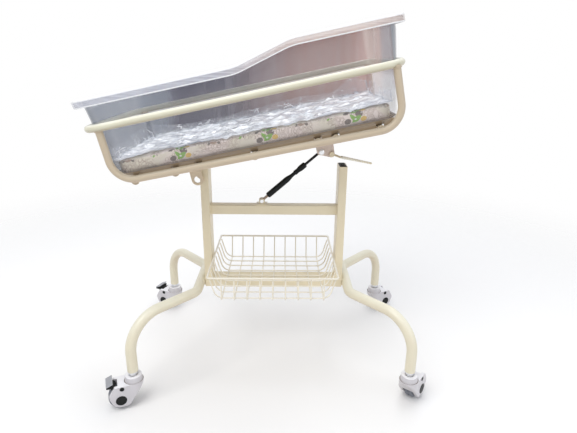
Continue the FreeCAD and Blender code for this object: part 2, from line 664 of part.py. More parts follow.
def tub():
    """Moulded shell with a rolled rim that drops from the head end to the foot end."""
    top = RING_HEIGHT + RIM_HIGH + 30.0
    outer = rounded_block(0.0, TUB_FLOOR, top, TUB_FLOOR_EDGE)
    inner = rounded_block(TUB_WALL, TUB_FLOOR + TUB_WALL, top, TUB_FLOOR_EDGE - TUB_WALL)
    flange_x = TUB_LENGTH / 2 + RIM_LOW * math.tan(math.radians(TUB_END_DRAFT)) + RIM_OVERHANG
    flange_y = TUB_WIDTH / 2 + RIM_LOW * math.tan(math.radians(TUB_SIDE_DRAFT)) + RIM_OVERHANG
    corner = TUB_CORNER + RIM_OVERHANG / 2

    def prism(inset):
        wire = rounded_rectangle(flange_x - inset, flange_y - inset, corner - inset, x=TUB_X, z=TUB_FLOOR)
        return Part.Face(wire).extrude(at(0, 0, top - TUB_FLOOR))

    walls = outer.common(under_rim(0.0))
    sheet = prism(0.0).common(under_rim(0.0)).cut(under_rim(RIM_THICKNESS))
    lip = prism(0.0).cut(prism(RIM_THICKNESS)).common(under_rim(0.0)).cut(under_rim(RIM_LIP))
    return walls.fuse([sheet, lip]).cut(inner).removeSplitter()


def mattress():
    """Plain pad that fills the floor of the tub."""
    inset = TUB_WALL + MATTRESS_GAP
    block = tub_block(inset, MATTRESS_BASE, MATTRESS_TOP)
    low = [e for e in block.Edges if all(abs(v.Z - MATTRESS_BASE) < 1e-6 for v in e.Vertexes)]
    return block.makeFillet(MATTRESS_EDGE, low)


def clear_cover():
    """Loose clear sheet: a thin tray on the mattress that stands up at both ends."""
    inset = TUB_WALL + MATTRESS_GAP
    base = MATTRESS_TOP + SEAT_GAP
    top = base + COVER_THICKNESS + COVER_RISE
    outer = tub_block(inset, base, top)
    inner = tub_block(inset + COVER_THICKNESS, base + COVER_THICKNESS, top)
    middle_length = TUB_LENGTH - 4 * TUB_CORNER
    middle = Part.makeBox(middle_length, TUB_WIDTH, top,
                          at(TUB_X - middle_length / 2, -TUB_WIDTH / 2, base + COVER_THICKNESS))
    return outer.cut([inner, middle]).removeSplitter()


def build_soft():
    save("tub", on_tray(tub()))
    save("mattress", on_tray(mattress()))
    save("clear_cover", on_tray(clear_cover()))


# ---------------------------------------------------------------- basket

def basket_levels():
    """Heights of the floor wires across, the floor wires along, and the rim."""
    low = BEAM_TOP + SEAT_GAP + BASKET_WIRE / 2
    return low, low + BASKET_WIRE, low + BASKET_HEIGHT


def basket_rim():
    half_x = UPRIGHT_INNER - BASKET_SIDE_GAP - BASKET_RIM_DIAMETER / 2
    path = rounded_rectangle(half_x, BASKET_RIM_WIDTH / 2, BASKET_RIM_CORNER, z=basket_levels()[2])
    return sweep(path, BASKET_RIM_DIAMETER)


def even_places(count, pitch, middle=0.0):
    return [middle + (i - (count - 1) / 2) * pitch for i in range(count)]


def basket_wires_across():
    """U wires from the front rim, under the floor, to the rear rim."""
    low, _, rim = basket_levels()
    top_y = BASKET_RIM_WIDTH / 2 - (BASKET_RIM_DIAMETER + BASKET_WIRE) / 2 - RUNNING_GAP
    wires = []
    for x in even_places(BASKET_COUNT_ACROSS, BASKET_PITCH_ACROSS):
        points = [at(x, -top_y, rim), at(x, -BASKET_FLOOR_FRONT, low), at(x, BASKET_FLOOR_REAR, low),
                  at(x, top_y, rim)]
        wires.append(sweep(bent_path(points, BASKET_BEND), BASKET_WIRE))
    return wires


def basket_wires_along():
    """U wires from side to side, lying on the wires across."""
    _, floor, rim = basket_levels()
    top_x = UPRIGHT_INNER - BASKET_SIDE_GAP - BASKET_RIM_DIAMETER - BASKET_WIRE / 2 - RUNNING_GAP
    floor_x = BASKET_FLOOR_LENGTH / 2
    middle = (BASKET_FLOOR_REAR - BASKET_FLOOR_FRONT) / 2
    flat = BASKET_FLOOR_REAR + BASKET_FLOOR_FRONT - 2 * BASKET_BEND
    wires = []
    for y in even_places(BASKET_COUNT_ALONG, flat / (BASKET_COUNT_ALONG - 1), middle):
        points = [at(-top_x, y, rim), at(-floor_x, y, floor), at(floor_x, y, floor), at(top_x, y, rim)]
        wires.append(sweep(bent_path(points, BASKET_END_BEND), BASKET_WIRE))
    return wires


def build_basket():
    save("basket_rim", basket_rim())
    save("basket_wires_across", *basket_wires_across())
    save("basket_wires_along", *basket_wires_along())


# ---------------------------------------------------------------- casters
# Each is drawn with its stem on Z and its trail along +X, then turned to its heading.

def caster_stem():
    collar_top = HOOD_TOP + COLLAR_RISE
    shoulder = collar_top - 5.0
    insert = LEG_TUBE / 2 - LEG_WALL
    return revolved([(0, STEM_PIN_FOOT), (STEM_PIN / 2, STEM_PIN_FOOT), (STEM_PIN / 2, shoulder),
                     (STEM_DIAMETER / 2, shoulder), (STEM_DIAMETER / 2, CASTER_HEIGHT),
                     (insert, CASTER_HEIGHT), (insert, CASTER_HEIGHT + STEM_INSERT - 2),
                     (insert - 2, CASTER_HEIGHT + STEM_INSERT), (0, CASTER_HEIGHT + STEM_INSERT)])


def hood_body():
    """Side profile extruded across, with its nose rounded about the stem in plan."""
    half = HOOD_WIDTH / 2
    profile = [(-half, HOOD_TOP), (-half, HOOD_CHIN), (HOOD_TOE, HOOD_FOOT), (HOOD_BULGE - 13, HOOD_FOOT),
               (HOOD_BULGE + 1, WHEEL_RADIUS + 14), (HOOD_BACK, HOOD_TOP)]
    sides = side_plate(profile, -half, half, corners=[0, 2, 16, 26, 14, 2])
    nose = Part.makeCylinder(half, HOOD_TOP)
    tail = Part.makeBox(2 * HOOD_BULGE, HOOD_WIDTH, HOOD_TOP, at(0, -half, 0))
    return sides.common(nose.fuse(tail))


def hood_collar():
    """Raised collar round the stem, inside the groove of the hood's top."""
    top = HOOD_TOP + COLLAR_RISE
    inner = STEM_DIAMETER / 2 + 0.5
    rim = COLLAR_RADIUS - COLLAR_TAPER
    return revolved([(inner, HOOD_TOP - GROOVE_DEPTH), (COLLAR_RADIUS, HOOD_TOP - GROOVE_DEPTH),
                     (COLLAR_RADIUS, HOOD_TOP), (rim, top - 2), (rim - 2, top), (inner + 3, top),
                     (inner, top - 2)])


def hood():
    """Hood with a slot for the wheel, open below, in front and behind."""
    half = HOOD_WIDTH / 2
    inner = HOOD_SLOT / 2
    trail = CASTER_TRAIL
    collar_top = HOOD_TOP + COLLAR_RISE
    shoulder = collar_top - 5.0 - SEAT_GAP
    wheel_room = across(WHEEL_DIAMETER + 6, trail, WHEEL_RADIUS, -inner, inner)
    low_slot = Part.makeBox(2 * HOOD_BULGE, 2 * inner, HOOD_NOSE_FOOT, at(-half, -inner, 0))
    rear_slot = Part.makeBox(HOOD_BULGE, 2 * inner, HOOD_TOP, at(HOOD_ROOF_END, -inner, HOOD_FOOT))
    groove = revolved([(COLLAR_RADIUS, HOOD_TOP - GROOVE_DEPTH),
                       (COLLAR_RADIUS + GROOVE_WIDTH, HOOD_TOP - GROOVE_DEPTH),
                       (COLLAR_RADIUS + GROOVE_WIDTH, HOOD_TOP), (COLLAR_RADIUS, HOOD_TOP)])
    pin_floor = STEM_PIN_FOOT - 2.0
    stem_room = revolved([(0, pin_floor), (STEM_PIN / 2 + RUNNING_GAP, pin_floor),
                          (STEM_PIN / 2 + RUNNING_GAP, shoulder), (STEM_DIAMETER / 2 + 0.5, shoulder),
                          (STEM_DIAMETER / 2 + 0.5, collar_top), (0, collar_top)])
    holes = [across(AXLE, trail, WHEEL_RADIUS, -half, half),
             across(PEDAL_JOURNAL + 2 * RUNNING_GAP, PEDAL_TRAIL, PEDAL_HEIGHT, -inner - 6, inner + 6)]
    for side in (-1, 1):
        stub = sorted((side * half, side * (half - BUTTON_STUB)))
        holes.append(across(BUTTON / 2, BUTTON_TRAIL, BUTTON_HEIGHT, *stub))
    body = hood_body().cut([wheel_room, low_slot, rear_slot, groove]).fuse(hood_collar())
    return body.cut([stem_room] + holes)


def wheel():
    """Tread with rounded shoulders on a dished core."""
    half = WHEEL_WIDTH / 2
    dish = 3.0
    rim = WHEEL_RADIUS - 9.0
    hub = 11.0
    bore = AXLE / 2 + RUNNING_GAP
    right = [(bore, half), (hub, half), (hub, half - dish), (rim, half - dish), (rim + 1.5, half - 1),
             (WHEEL_RADIUS - 4.0, half - 1), (WHEEL_RADIUS - 1.2, half - 3), (WHEEL_RADIUS, half - 7)]
    left = [(r, -z) for r, z in reversed(right)]
    disc = revolved(right + left)
    disc.rotate(at(0, 0, 0), X, 90)
    disc.translate(at(CASTER_TRAIL, 0, WHEEL_RADIUS))
    return disc


def axle():
    """Pin through both cheeks, with a spacer each side of the wheel and flat round caps."""
    half = HOOD_WIDTH / 2
    spacers = []
    for side in (-1, 1):
        gap = sorted((side * HOOD_SLOT / 2, side * (WHEEL_WIDTH / 2 + SEAT_GAP)))
        spacers.append(across(16.0, CASTER_TRAIL, WHEEL_RADIUS, *gap))
    return headed_pin(AXLE, CASTER_TRAIL, WHEEL_RADIUS, -half, half, HUB_CAP, CAP_RISE).fuse(spacers)


def button(side):
    """Small cap on a cheek, on a stub in it."""
    half = HOOD_WIDTH / 2
    stub = sorted((side * half, side * (half - BUTTON_STUB)))
    cap = sorted((side * half, side * (half + CAP_RISE)))
    return across(BUTTON / 2, BUTTON_TRAIL, BUTTON_HEIGHT, *stub).fuse(
        across(BUTTON, BUTTON_TRAIL, BUTTON_HEIGHT, *cap))


def pedal():
    """Brake pedal on its own journals, with a shoe that comes down on the tyre."""
    x, z = PEDAL_TRAIL, PEDAL_HEIGHT
    inside = HOOD_SLOT / 2 - SEAT_GAP
    journal = across(PEDAL_JOURNAL, x, z, -HOOD_SLOT / 2 - 6, HOOD_SLOT / 2 + 6)
    hub = across(PEDAL_HUB, x, z, -inside, inside)
    arm = side_plate([(x - 2, z + 3), (x + 2, z - 4), (x + 6.5, z - 6.5), (x + 13, z + 6), (x + 5, z + 8)],
                     -inside, inside, corners=[1, 0, 1, 0, 0])
    pad = side_plate([(x + 4, z + 6), (x + PEDAL_REACH, z + 6), (x + PEDAL_REACH - 1, z + 12),
                      (x + 4, z + 12)], -PEDAL_WIDTH / 2, PEDAL_WIDTH / 2, 1.5)
    return journal.fuse([hub, arm, pad])


def build_casters():
    for name, heading in HEADINGS.items():
        row, column = name.split("_")
        stem_at = at(LEG_HALF_X * (1 if column == "right" else -1),
                     LEG_HALF_Y * (1 if row == "rear" else -1), 0)

        def turned(shape):
            placed = shape.copy()
            placed.rotate(at(0, 0, 0), Z, heading)
            placed.translate(stem_at)
            return placed

        save("caster_stem_" + name, turned(caster_stem()))
        save("caster_hood_" + name, turned(hood()))
        save("caster_wheel_" + name, turned(wheel()))
        save("caster_axle_" + name, turned(axle()), turned(button(-1)), turned(button(1)))
        if name in BRAKED:
            save("brake_pedal_" + name, turned(pedal()))


os.makedirs("parts", exist_ok=True)
build_base()
build_tray()
build_spring()
build_soft()
build_basket()
build_casters()
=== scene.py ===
"""Looks of a tilting hospital bassinet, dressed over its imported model.

A clear tub with a padded mattress and a crumpled clear sheet lies in a tilting tray frame of
bent tube. The frame turns on a two-post base with four casters, held by a gas spring, over a
wire basket. Sizes are in millimetres and are turned into metres when a piece is placed.
"""

import json
import logging
import math
import random
from dataclasses import dataclass, field
from enum import Enum
from typing import Any, Sequence, Union

import bmesh
import bpy
from bmesh.types import BMEdge, BMesh, BMVert
from mathutils import Matrix, Vector, noise

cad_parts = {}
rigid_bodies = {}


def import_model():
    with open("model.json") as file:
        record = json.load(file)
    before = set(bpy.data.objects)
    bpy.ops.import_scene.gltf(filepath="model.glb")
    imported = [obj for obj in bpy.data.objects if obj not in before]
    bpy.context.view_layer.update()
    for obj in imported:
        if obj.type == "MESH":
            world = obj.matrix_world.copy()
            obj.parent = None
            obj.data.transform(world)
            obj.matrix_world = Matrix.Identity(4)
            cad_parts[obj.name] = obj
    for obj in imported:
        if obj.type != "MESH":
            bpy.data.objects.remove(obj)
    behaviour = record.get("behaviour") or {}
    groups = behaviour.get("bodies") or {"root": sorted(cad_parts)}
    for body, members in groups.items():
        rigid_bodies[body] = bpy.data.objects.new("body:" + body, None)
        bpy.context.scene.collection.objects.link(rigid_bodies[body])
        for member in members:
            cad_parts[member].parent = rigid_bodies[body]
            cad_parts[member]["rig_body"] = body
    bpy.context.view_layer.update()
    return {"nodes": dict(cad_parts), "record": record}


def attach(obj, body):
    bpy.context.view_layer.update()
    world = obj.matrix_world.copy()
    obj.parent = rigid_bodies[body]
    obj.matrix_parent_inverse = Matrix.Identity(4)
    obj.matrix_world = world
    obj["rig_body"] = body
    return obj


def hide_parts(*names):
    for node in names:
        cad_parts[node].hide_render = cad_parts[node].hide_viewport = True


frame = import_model()

LOG = logging.getLogger("bassinet")
MM = 0.001
TILT = math.radians(12.35)
PIVOT = (-0.1858, 0.652)
Colour = tuple[float, float, float]
Spot = tuple[float, float]
Value = Union["Wire", float, int, Sequence[float]]


# ------------------------------------------------------------------ shader language

class Wire:
    """An output socket of a material's tree, with arithmetic that adds Math nodes."""

    def __init__(self, recipe: "Recipe", socket: bpy.types.NodeSocket) -> None:
        """Keeps the socket and the recipe that it belongs to."""
        self.recipe = recipe
        self.socket = socket

    def _math(self, operation: str, *values: Value) -> "Wire":
        """Adds one Math node.

        Args:
            operation: The node's operation.
            values: Its inputs in order.

        Returns:
            The node's result.
        """
        return self.recipe.add("ShaderNodeMath", {"operation": operation}, dict(enumerate(values)))

    def __add__(self, other: Value) -> "Wire":
        """Sum."""
        return self._math("ADD", self, other)

    __radd__ = __add__

    def __sub__(self, other: Value) -> "Wire":
        """Difference."""
        return self._math("SUBTRACT", self, other)

    def __rsub__(self, other: Value) -> "Wire":
        """Difference from a number."""
        return self._math("SUBTRACT", other, self)

    def __mul__(self, other: Value) -> "Wire":
        """Product."""
        return self._math("MULTIPLY", self, other)

    __rmul__ = __mul__

    def __truediv__(self, other: Value) -> "Wire":
        """Quotient."""
        return self._math("DIVIDE", self, other)

    def __lt__(self, other: Value) -> "Wire":
        """1 where it is below the other."""
        return self._math("LESS_THAN", self, other)

    def __gt__(self, other: Value) -> "Wire":
        """1 where it is above the other."""
        return self._math("GREATER_THAN", self, other)

    def __abs__(self) -> "Wire":
        """Distance from nought."""
        return self._math("ABSOLUTE", self)

    def sine(self) -> "Wire":
        """Sine."""
        return self._math("SINE", self)

    def upto(self, other: Value) -> "Wire":
        """The smaller of the two."""
        return self._math("MINIMUM", self, other)

    def atleast(self, other: Value) -> "Wire":
        """The larger of the two."""
        return self._math("MAXIMUM", self, other)

    def step(self, low: float, high: float, start: float = 0.0, end: float = 1.0) -> "Wire":
        """Smooth step from start at low to end at high."""
        return self.recipe.add("ShaderNodeMapRange", {"interpolation_type": "SMOOTHSTEP"},
                               {"Value": self, "From Min": low, "From Max": high,
                                "To Min": start, "To Max": end})


class Recipe:
    """A material or a world being put together."""

    def __init__(self, name: str, world: bool = False) -> None:
        """Starts an empty node tree.

        Args:
            name: Name of the material or the world.
            world: Whether it is a world.
        """
        self.material = (bpy.data.worlds if world else bpy.data.materials).new(name)
        self.material.use_nodes = True
        self.tree = self.material.node_tree
        self.tree.nodes.clear()

    def add(self, kind: str, settings: dict[str, Any], sockets: dict[Union[str, int], Value],
            output: Union[str, int] = 0) -> Wire:
        """Adds any node: its settings first, then its sockets.

        Args:
            kind: The node's type name.
            settings: Its own settings; "stops" fills a colour ramp.
            sockets: Value or link of each input, by name or number.
            output: The output to hand back.

        Returns:
            The chosen output.
        """
        node = self.tree.nodes.new(kind)
        for key, value in settings.items():
            if key == "stops":
                ramp = node.color_ramp
                while len(ramp.elements) < len(value):
                    ramp.elements.new(0.5)
                for element, (place, shade) in zip(ramp.elements, value):
                    element.position = place
                    element.color = (*shade, 1.0)
            else:
                setattr(node, key, value)
        for key, value in sockets.items():
            socket = node.inputs[key]
            if isinstance(value, Wire):
                self.tree.links.new(value.socket, socket)
            elif socket.type == "RGBA" and len(value) == 3:
                socket.default_value = (*value, 1.0)
            else:
                socket.default_value = value
        return Wire(self, node.outputs[output])

    def place(self) -> Wire:
        """Object coordinates, in metres."""
        return self.add("ShaderNodeTexCoord", {}, {}, "Object")

    def stretched(self, source: Wire, scale: Sequence[float], turn: Sequence[float] = (0, 0, 0)) -> Wire:
        """Coordinates turned and scaled by a Mapping node."""
        return self.add("ShaderNodeMapping", {}, {"Vector": source, "Rotation": turn, "Scale": scale})

    def moved(self, source: Wire, by: Value) -> Wire:
        """Coordinates with a vector or a number added."""
        return self.add("ShaderNodeVectorMath", {"operation": "ADD"}, {0: source, 1: by})

    def noise(self, source: Wire, scale: float, detail: float = 3.0, rough: float = 0.5) -> Wire:
        """Noise between 0 and 1."""
        return self.add("ShaderNodeTexNoise", {}, {"Vector": source, "Scale": scale, "Detail": detail,
                                                   "Roughness": rough})

    def cells(self, source: Wire, scale: float, feature: str = "F1", flat: bool = False) -> Wire:
        """Distance in Voronoi cells; flat reads the source as two-dimensional."""
        dims = "2D" if flat else "3D"
        return self.add("ShaderNodeTexVoronoi", {"feature": feature, "voronoi_dimensions": dims},
                        {"Vector": source, "Scale": scale}, "Distance")

    def mix(self, mask: Value, low: Value, high: Value) -> Wire:
        """Mixes two colours by a mask."""
        return self.add("ShaderNodeMix", {"data_type": "RGBA"}, {0: mask, 6: low, 7: high}, 2)

    def blend(self, start: Value, mask: Value, end: Value) -> Wire:
        """Number between start and end."""
        return self.add("ShaderNodeMix", {"data_type": "FLOAT"}, {0: mask, 2: start, 3: end}, 0)

    def part(self, source: Wire, axis: str) -> Wire:
        """One component of a vector."""
        return self.add("ShaderNodeSeparateXYZ", {}, {"Vector": source}, axis)

    def laid(self, name: str) -> Wire:
        """A number that the mesh carries at its vertices."""
        return self.add("ShaderNodeAttribute", {"attribute_name": name}, {}, "Fac")

    def ramp(self, value: Wire, stops: Sequence[tuple[float, Colour]]) -> Wire:
        """Colour ramp over a value between 0 and 1."""
        return self.add("ShaderNodeValToRGB", {"stops": stops}, {"Fac": value}, "Color")

    def glazed(self, weight: Wire, clear: Colour, solid: Wire) -> bpy.types.Material:
        """Finishes a see-through material.

        Args:
            weight: How much of the solid surface shows.
            clear: Colour of what is seen through it.
            solid: The solid surface.

        Returns:
            The finished material.
        """
        film = self.add("ShaderNodeBsdfTransparent", {}, {"Color": clear})
        return self.finish(self.add("ShaderNodeMixShader", {}, {0: weight, 1: film, 2: solid}))

    def bump(self, height: Wire, depth: float, strength: float = 1.0) -> Wire:
        """Bump normal, depth in metres."""
        return self.add("ShaderNodeBump", {}, {"Height": height, "Distance": depth, "Strength": strength})

    def surface(self, sockets: dict[str, Value]) -> Wire:
        """Principled shader."""
        return self.add("ShaderNodeBsdfPrincipled", {}, sockets)

    def finish(self, shader: Wire, output: str = "ShaderNodeOutputMaterial") -> bpy.types.Material:
        """Links the shader to the output.

        Args:
            shader: What the surface shows.
            output: Type of the output node.

        Returns:
            The finished material.
        """
        end = self.tree.nodes.new(output)
        self.tree.links.new(shader.socket, end.inputs["Surface"])
        return self.material


# ------------------------------------------------------------------ finishes

@dataclass(frozen=True)
class Finish:
    """A finish that is made once and then shared.

    Attributes:
        name: Name of the material.
        tint: Its main colour, linear.
        rough: Its roughness.
    """

    name: str
    tint: Colour
    rough: float = 0.5

    def recipe(self) -> bpy.types.Material:
        """Builds the material.

        Returns:
            The finished material.
        """
        raise NotImplementedError

    def material(self) -> bpy.types.Material:
        """The material, made on first use."""
        return bpy.data.materials.get(self.name) or self.recipe()


@dataclass(frozen=True)
class Toned(Finish):
    """Paint or moulding with light and shade painted by facing: one colour painted on what faces up and
    another below, with orange peel and faint clouding.

    Attributes:
        dust_and_top_lighting: Colour painted on what faces up, as the light from above makes it look.
        shade: Colour painted on what faces down, as the shade below makes it look, and of the grime.
        peel: Depth of the orange peel, in metres.
    """

    dust_and_top_lighting: Colour = (0.80, 0.80, 0.69)
    shade: Colour = (0.56, 0.45, 0.31)
    peel: float = 0.00010

    def recipe(self) -> bpy.types.Material:
        """Builds the material.

        Returns:
            The finished material.
        """
        mix = Recipe(self.name)
        here = mix.place()
        up = mix.part(mix.add("ShaderNodeNewGeometry", {}, {}, "Normal"), "Z")
        cloud = mix.noise(here, 9.0, 4.0, 0.6).step(0.3, 0.75)
        grime = mix.noise(here, 38.0, 6.0, 0.7).step(0.56, 0.8)
        fleck = mix.cells(here, 420.0).step(0.05, 0.16, 1.0, 0.0) * mix.noise(here, 60.0).step(0.6, 0.7)
        # painted light: what faces up takes the colour that light from above gives it
        colour = mix.mix(up.step(0.15, 0.95) * 0.75, self.tint, self.dust_and_top_lighting)
        # painted shade: what faces down takes the colour that shade below gives it
        colour = mix.mix(up.step(-0.95, 0.05, 0.75, 0.0), colour, self.shade)
        colour = mix.mix(cloud * 0.12 + grime * 0.10, colour, self.shade)
        colour = mix.mix(fleck * 0.3, colour, [c * 0.55 for c in self.shade])
        peel = mix.noise(here, 700.0, 2.0, 0.5) + mix.noise(here, 190.0, 2.0, 0.5) * 0.7
        rough = mix.noise(here, 24.0, 4.0).step(0.3, 0.7, self.rough - 0.06, self.rough + 0.08)
        return mix.finish(mix.surface({"Base Color": colour, "Roughness": rough + grime * 0.1,
                                       "Coat Weight": 0.18, "Coat Roughness": 0.16,
                                       "Normal": mix.bump(peel, self.peel)}))


@dataclass(frozen=True)
class Moulded(Finish):
    """Moulded plastic with fine spark-eroded grain and slightly scuffed patches."""

    grain: float = 0.00005
    scuff: float = 0.12
    shine: float = 0.5

    def recipe(self) -> bpy.types.Material:
        """Builds the material.

        Returns:
            The finished material.
        """
        mix = Recipe(self.name)
        here = mix.place()
        cloud = mix.noise(here, 30.0, 3.0).step(0.35, 0.7)
        scuff = mix.noise(mix.stretched(here, (1.0, 1.0, 0.25)), 160.0, 6.0, 0.75).step(0.58, 0.75)
        colour = mix.mix(cloud * 0.10, self.tint, [c * 0.8 for c in self.tint])
        colour = mix.mix(scuff * self.scuff, colour, (0.42, 0.41, 0.40))
        grain = mix.noise(here, 2600.0, 2.0) + mix.noise(here, 420.0, 2.0) * 0.5
        rough = scuff.step(0.0, 1.0, self.rough, self.rough + 0.2)
        return mix.finish(mix.surface({"Base Color": colour, "Roughness": rough,
                                       "Specular IOR Level": self.shine,
                                       "Normal": mix.bump(grain, self.grain)}))


@dataclass(frozen=True)
class Metal(Finish):
    """Plated or polished steel with fine drawn lines and a few dull spots."""

    lines: tuple[float, float, float] = (1.0, 1.0, 1.0)

    def recipe(self) -> bpy.types.Material:
        """Builds the material.

        Returns:
            The finished material.
        """
        mix = Recipe(self.name)
        here = mix.place()
        spots = mix.noise(here, 220.0, 5.0, 0.7).step(0.5, 0.75)
        drawn = mix.noise(mix.stretched(here, self.lines), 900.0, 2.0)
        colour = mix.mix(spots * 0.5, self.tint, [c * 0.55 for c in self.tint])
        rough = spots.step(0.0, 1.0, self.rough, self.rough + 0.25)
        return mix.finish(mix.surface({"Base Color": colour, "Metallic": 1.0, "Roughness": rough,
                                       "Normal": mix.bump(drawn, 0.00003)}))


@dataclass(frozen=True)
class Tread(Finish):
    """Grey wheel rubber, dusty where it has rolled."""

    def recipe(self) -> bpy.types.Material:
        """Builds the material.

        Returns:
            The finished material.
        """
        mix = Recipe(self.name)
        here = mix.place()
        dust_and_top_lighting = mix.noise(here, 90.0, 6.0, 0.7).step(0.42, 0.7)
        colour = mix.mix(dust_and_top_lighting * 0.55, self.tint, (0.33, 0.33, 0.34))
        wear = mix.noise(here, 1500.0, 3.0) + dust_and_top_lighting * 0.6
        return mix.finish(mix.surface({"Base Color": colour, "Roughness": dust_and_top_lighting.step(0, 1, 0.45, 0.75),
                                       "Normal": mix.bump(wear, 0.00012)}))


@dataclass(frozen=True)
class ClearShell(Finish):
    """Clear moulded plastic with painted reflections: smoky tints on the far wall, faint in front, and
    painted highlights along its moulded edges.

    Attributes:
        behind: Painted reflection tints along the far wall from the foot to the head.
        cover: How solid the far wall's painted reflections look at the same places.
        floor: Painted shade on the floor and the curve under the walls.
        head: Painted reflection tints of the front and rear halves of the head wall.
        rim_reflection_tints: Painted reflection tints of the rolled rim at the foot and at the head.
        edge: Painted highlight along the moulded edges.
        rail: Height of the tray's ring over the pivot, and where its clear band starts to end and ends.
        end_slope: How much the foot wall leans out for its height.
        foot_face: The foot wall's face ahead of the pivot, and where its tint has gone.
        head_face: The same for the head wall.
        floor_top: Where the floor's painted shade starts to end and ends, over the pivot.
    """

    behind: tuple[tuple[float, Colour], ...] = ((0.0, (0.12, 0.17, 0.24)), (0.13, (0.10, 0.13, 0.19)),
                                                (0.17, (0.025, 0.02, 0.06)), (0.36, (0.03, 0.02, 0.05)),
                                                (0.50, (0.17, 0.09, 0.09)), (0.62, (0.30, 0.15, 0.12)),
                                                (0.76, (0.34, 0.17, 0.13)), (0.84, (0.55, 0.30, 0.24)),
                                                (0.90, (0.58, 0.34, 0.28)))
    cover: tuple[tuple[float, Colour], ...] = ((0.0, (0.55,) * 3), (0.13, (0.62,) * 3), (0.17, (0.80,) * 3),
                                               (0.36, (0.80,) * 3), (0.50, (0.72,) * 3), (0.76, (0.68,) * 3),
                                               (0.90, (0.60,) * 3))
    floor: Colour = (0.36, 0.275, 0.185)
    head: tuple[Colour, Colour] = ((0.36, 0.39, 0.43), (0.70, 0.53, 0.46))
    rim_reflection_tints: tuple[Colour, Colour] = ((0.76, 0.77, 0.84), (0.80, 0.68, 0.63))
    edge: Colour = (0.96, 0.97, 0.98)
    rail: tuple[float, float, float] = (0.1715, 0.0088, 0.0104)
    end_slope: float = 0.114
    foot_face: tuple[float, float] = (-0.198, -0.168)
    head_face: tuple[float, float] = (0.546, 0.560)
    floor_top: tuple[float, float] = (0.0420, 0.0445)

    def recipe(self) -> bpy.types.Material:
        """Builds the material.

        Returns:
            The finished material.
        """
        mix = Recipe(self.name)
        here = mix.place()
        cos, sin = math.cos(TILT), math.sin(TILT)
        x, z = mix.part(here, "X") - PIVOT[0], mix.part(here, "Z") - PIVOT[1]
        ahead, tall = x * cos + z * sin, z * cos - x * sin
        along = (mix.part(here, "X") + 0.46) / 0.92
        rear = mix.part(here, "Y").step(0.10, 0.19)
        head = ahead.step(*self.head_face)
        foot = (ahead + tall * self.end_slope).step(*self.foot_face, 1.0, 0.0)
        # painted reflections: vertical streaks and smoky tints along the far wall
        reflection_streak = mix.noise(mix.stretched(here, (9.0, 9.0, 0.7)), 4.5, 3.0, 0.6)
        mottle = mix.noise(here, 26.0, 4.0, 0.6)
        marks = mix.noise(mix.stretched(here, (6.0, 6.0, 120.0), (0.3, 0.2, 0.1)), 9.0, 5.0, 0.8)
        marks = marks.step(0.70, 0.80)
        tint = mix.mix(reflection_streak.step(0.35, 0.75) * 0.22, mix.ramp(along, self.behind), (0.42, 0.40, 0.43))
        tint = mix.mix(rear.atleast(foot).atleast(head), (0.75, 0.76, 0.80), tint)
        weight = mix.part(mix.ramp(along, self.cover), "X") * rear.atleast(foot * 0.85)
        weight = weight * reflection_streak.step(0.2, 0.8, 1.03, 0.94) + 0.07 + marks * 0.06 + mottle * 0.03
        # painted reflection on the head wall: blue-grey in front and a warm glint at the rear
        head_reflection = mix.mix(mix.part(here, "Y").step(-0.01, 0.05), self.head[0], self.head[1])
        tint = mix.mix(head, tint, head_reflection)
        weight = mix.blend(weight, head, tall.step(0.13, 0.17, 0.34, 0.74))
        rail = abs(tall - self.rail[0]).step(*self.rail[1:], 1.0, 0.0) * rear.atleast(foot)
        weight = mix.blend(weight, rail, 0.04)
        # painted shade on the floor and the curve under the walls
        low = tall.step(*self.floor_top, 1.0, 0.0)
        rim = mix.laid("rim")
        edge = mix.laid("edge")
        tint = mix.mix(low, tint, self.floor)
        # painted reflection tints on the rolled rim
        tint = mix.mix(rim, tint, mix.mix(mix.part(here, "X").step(-0.15, 0.10), *self.rim_reflection_tints))
        # painted highlight along the moulded edges
        tint = mix.mix(edge, tint, self.edge)
        weight = mix.blend(weight, low, 0.93)
        sheen = mix.noise(mix.stretched(here, (1.5, 1.5, 40.0), (0.0, TILT, 0.0)), 6.0, 4.0, 0.7)
        weight = mix.blend(weight, rim, sheen.step(0.3, 0.7, 0.34, 0.62))
        weight = mix.blend(weight, edge, 0.95)
        wave = mix.noise(here, 16.0, 2.0) + marks * 0.02
        solid = mix.surface({"Base Color": tint, "Roughness": self.rough, "Specular IOR Level": 0.5,
                             "Coat Weight": 0.6, "Coat Roughness": 0.04,
                             "Normal": mix.bump(wave, 0.0010)})
        return mix.glazed(weight.upto(0.97), (0.985, 0.985, 0.99), solid)


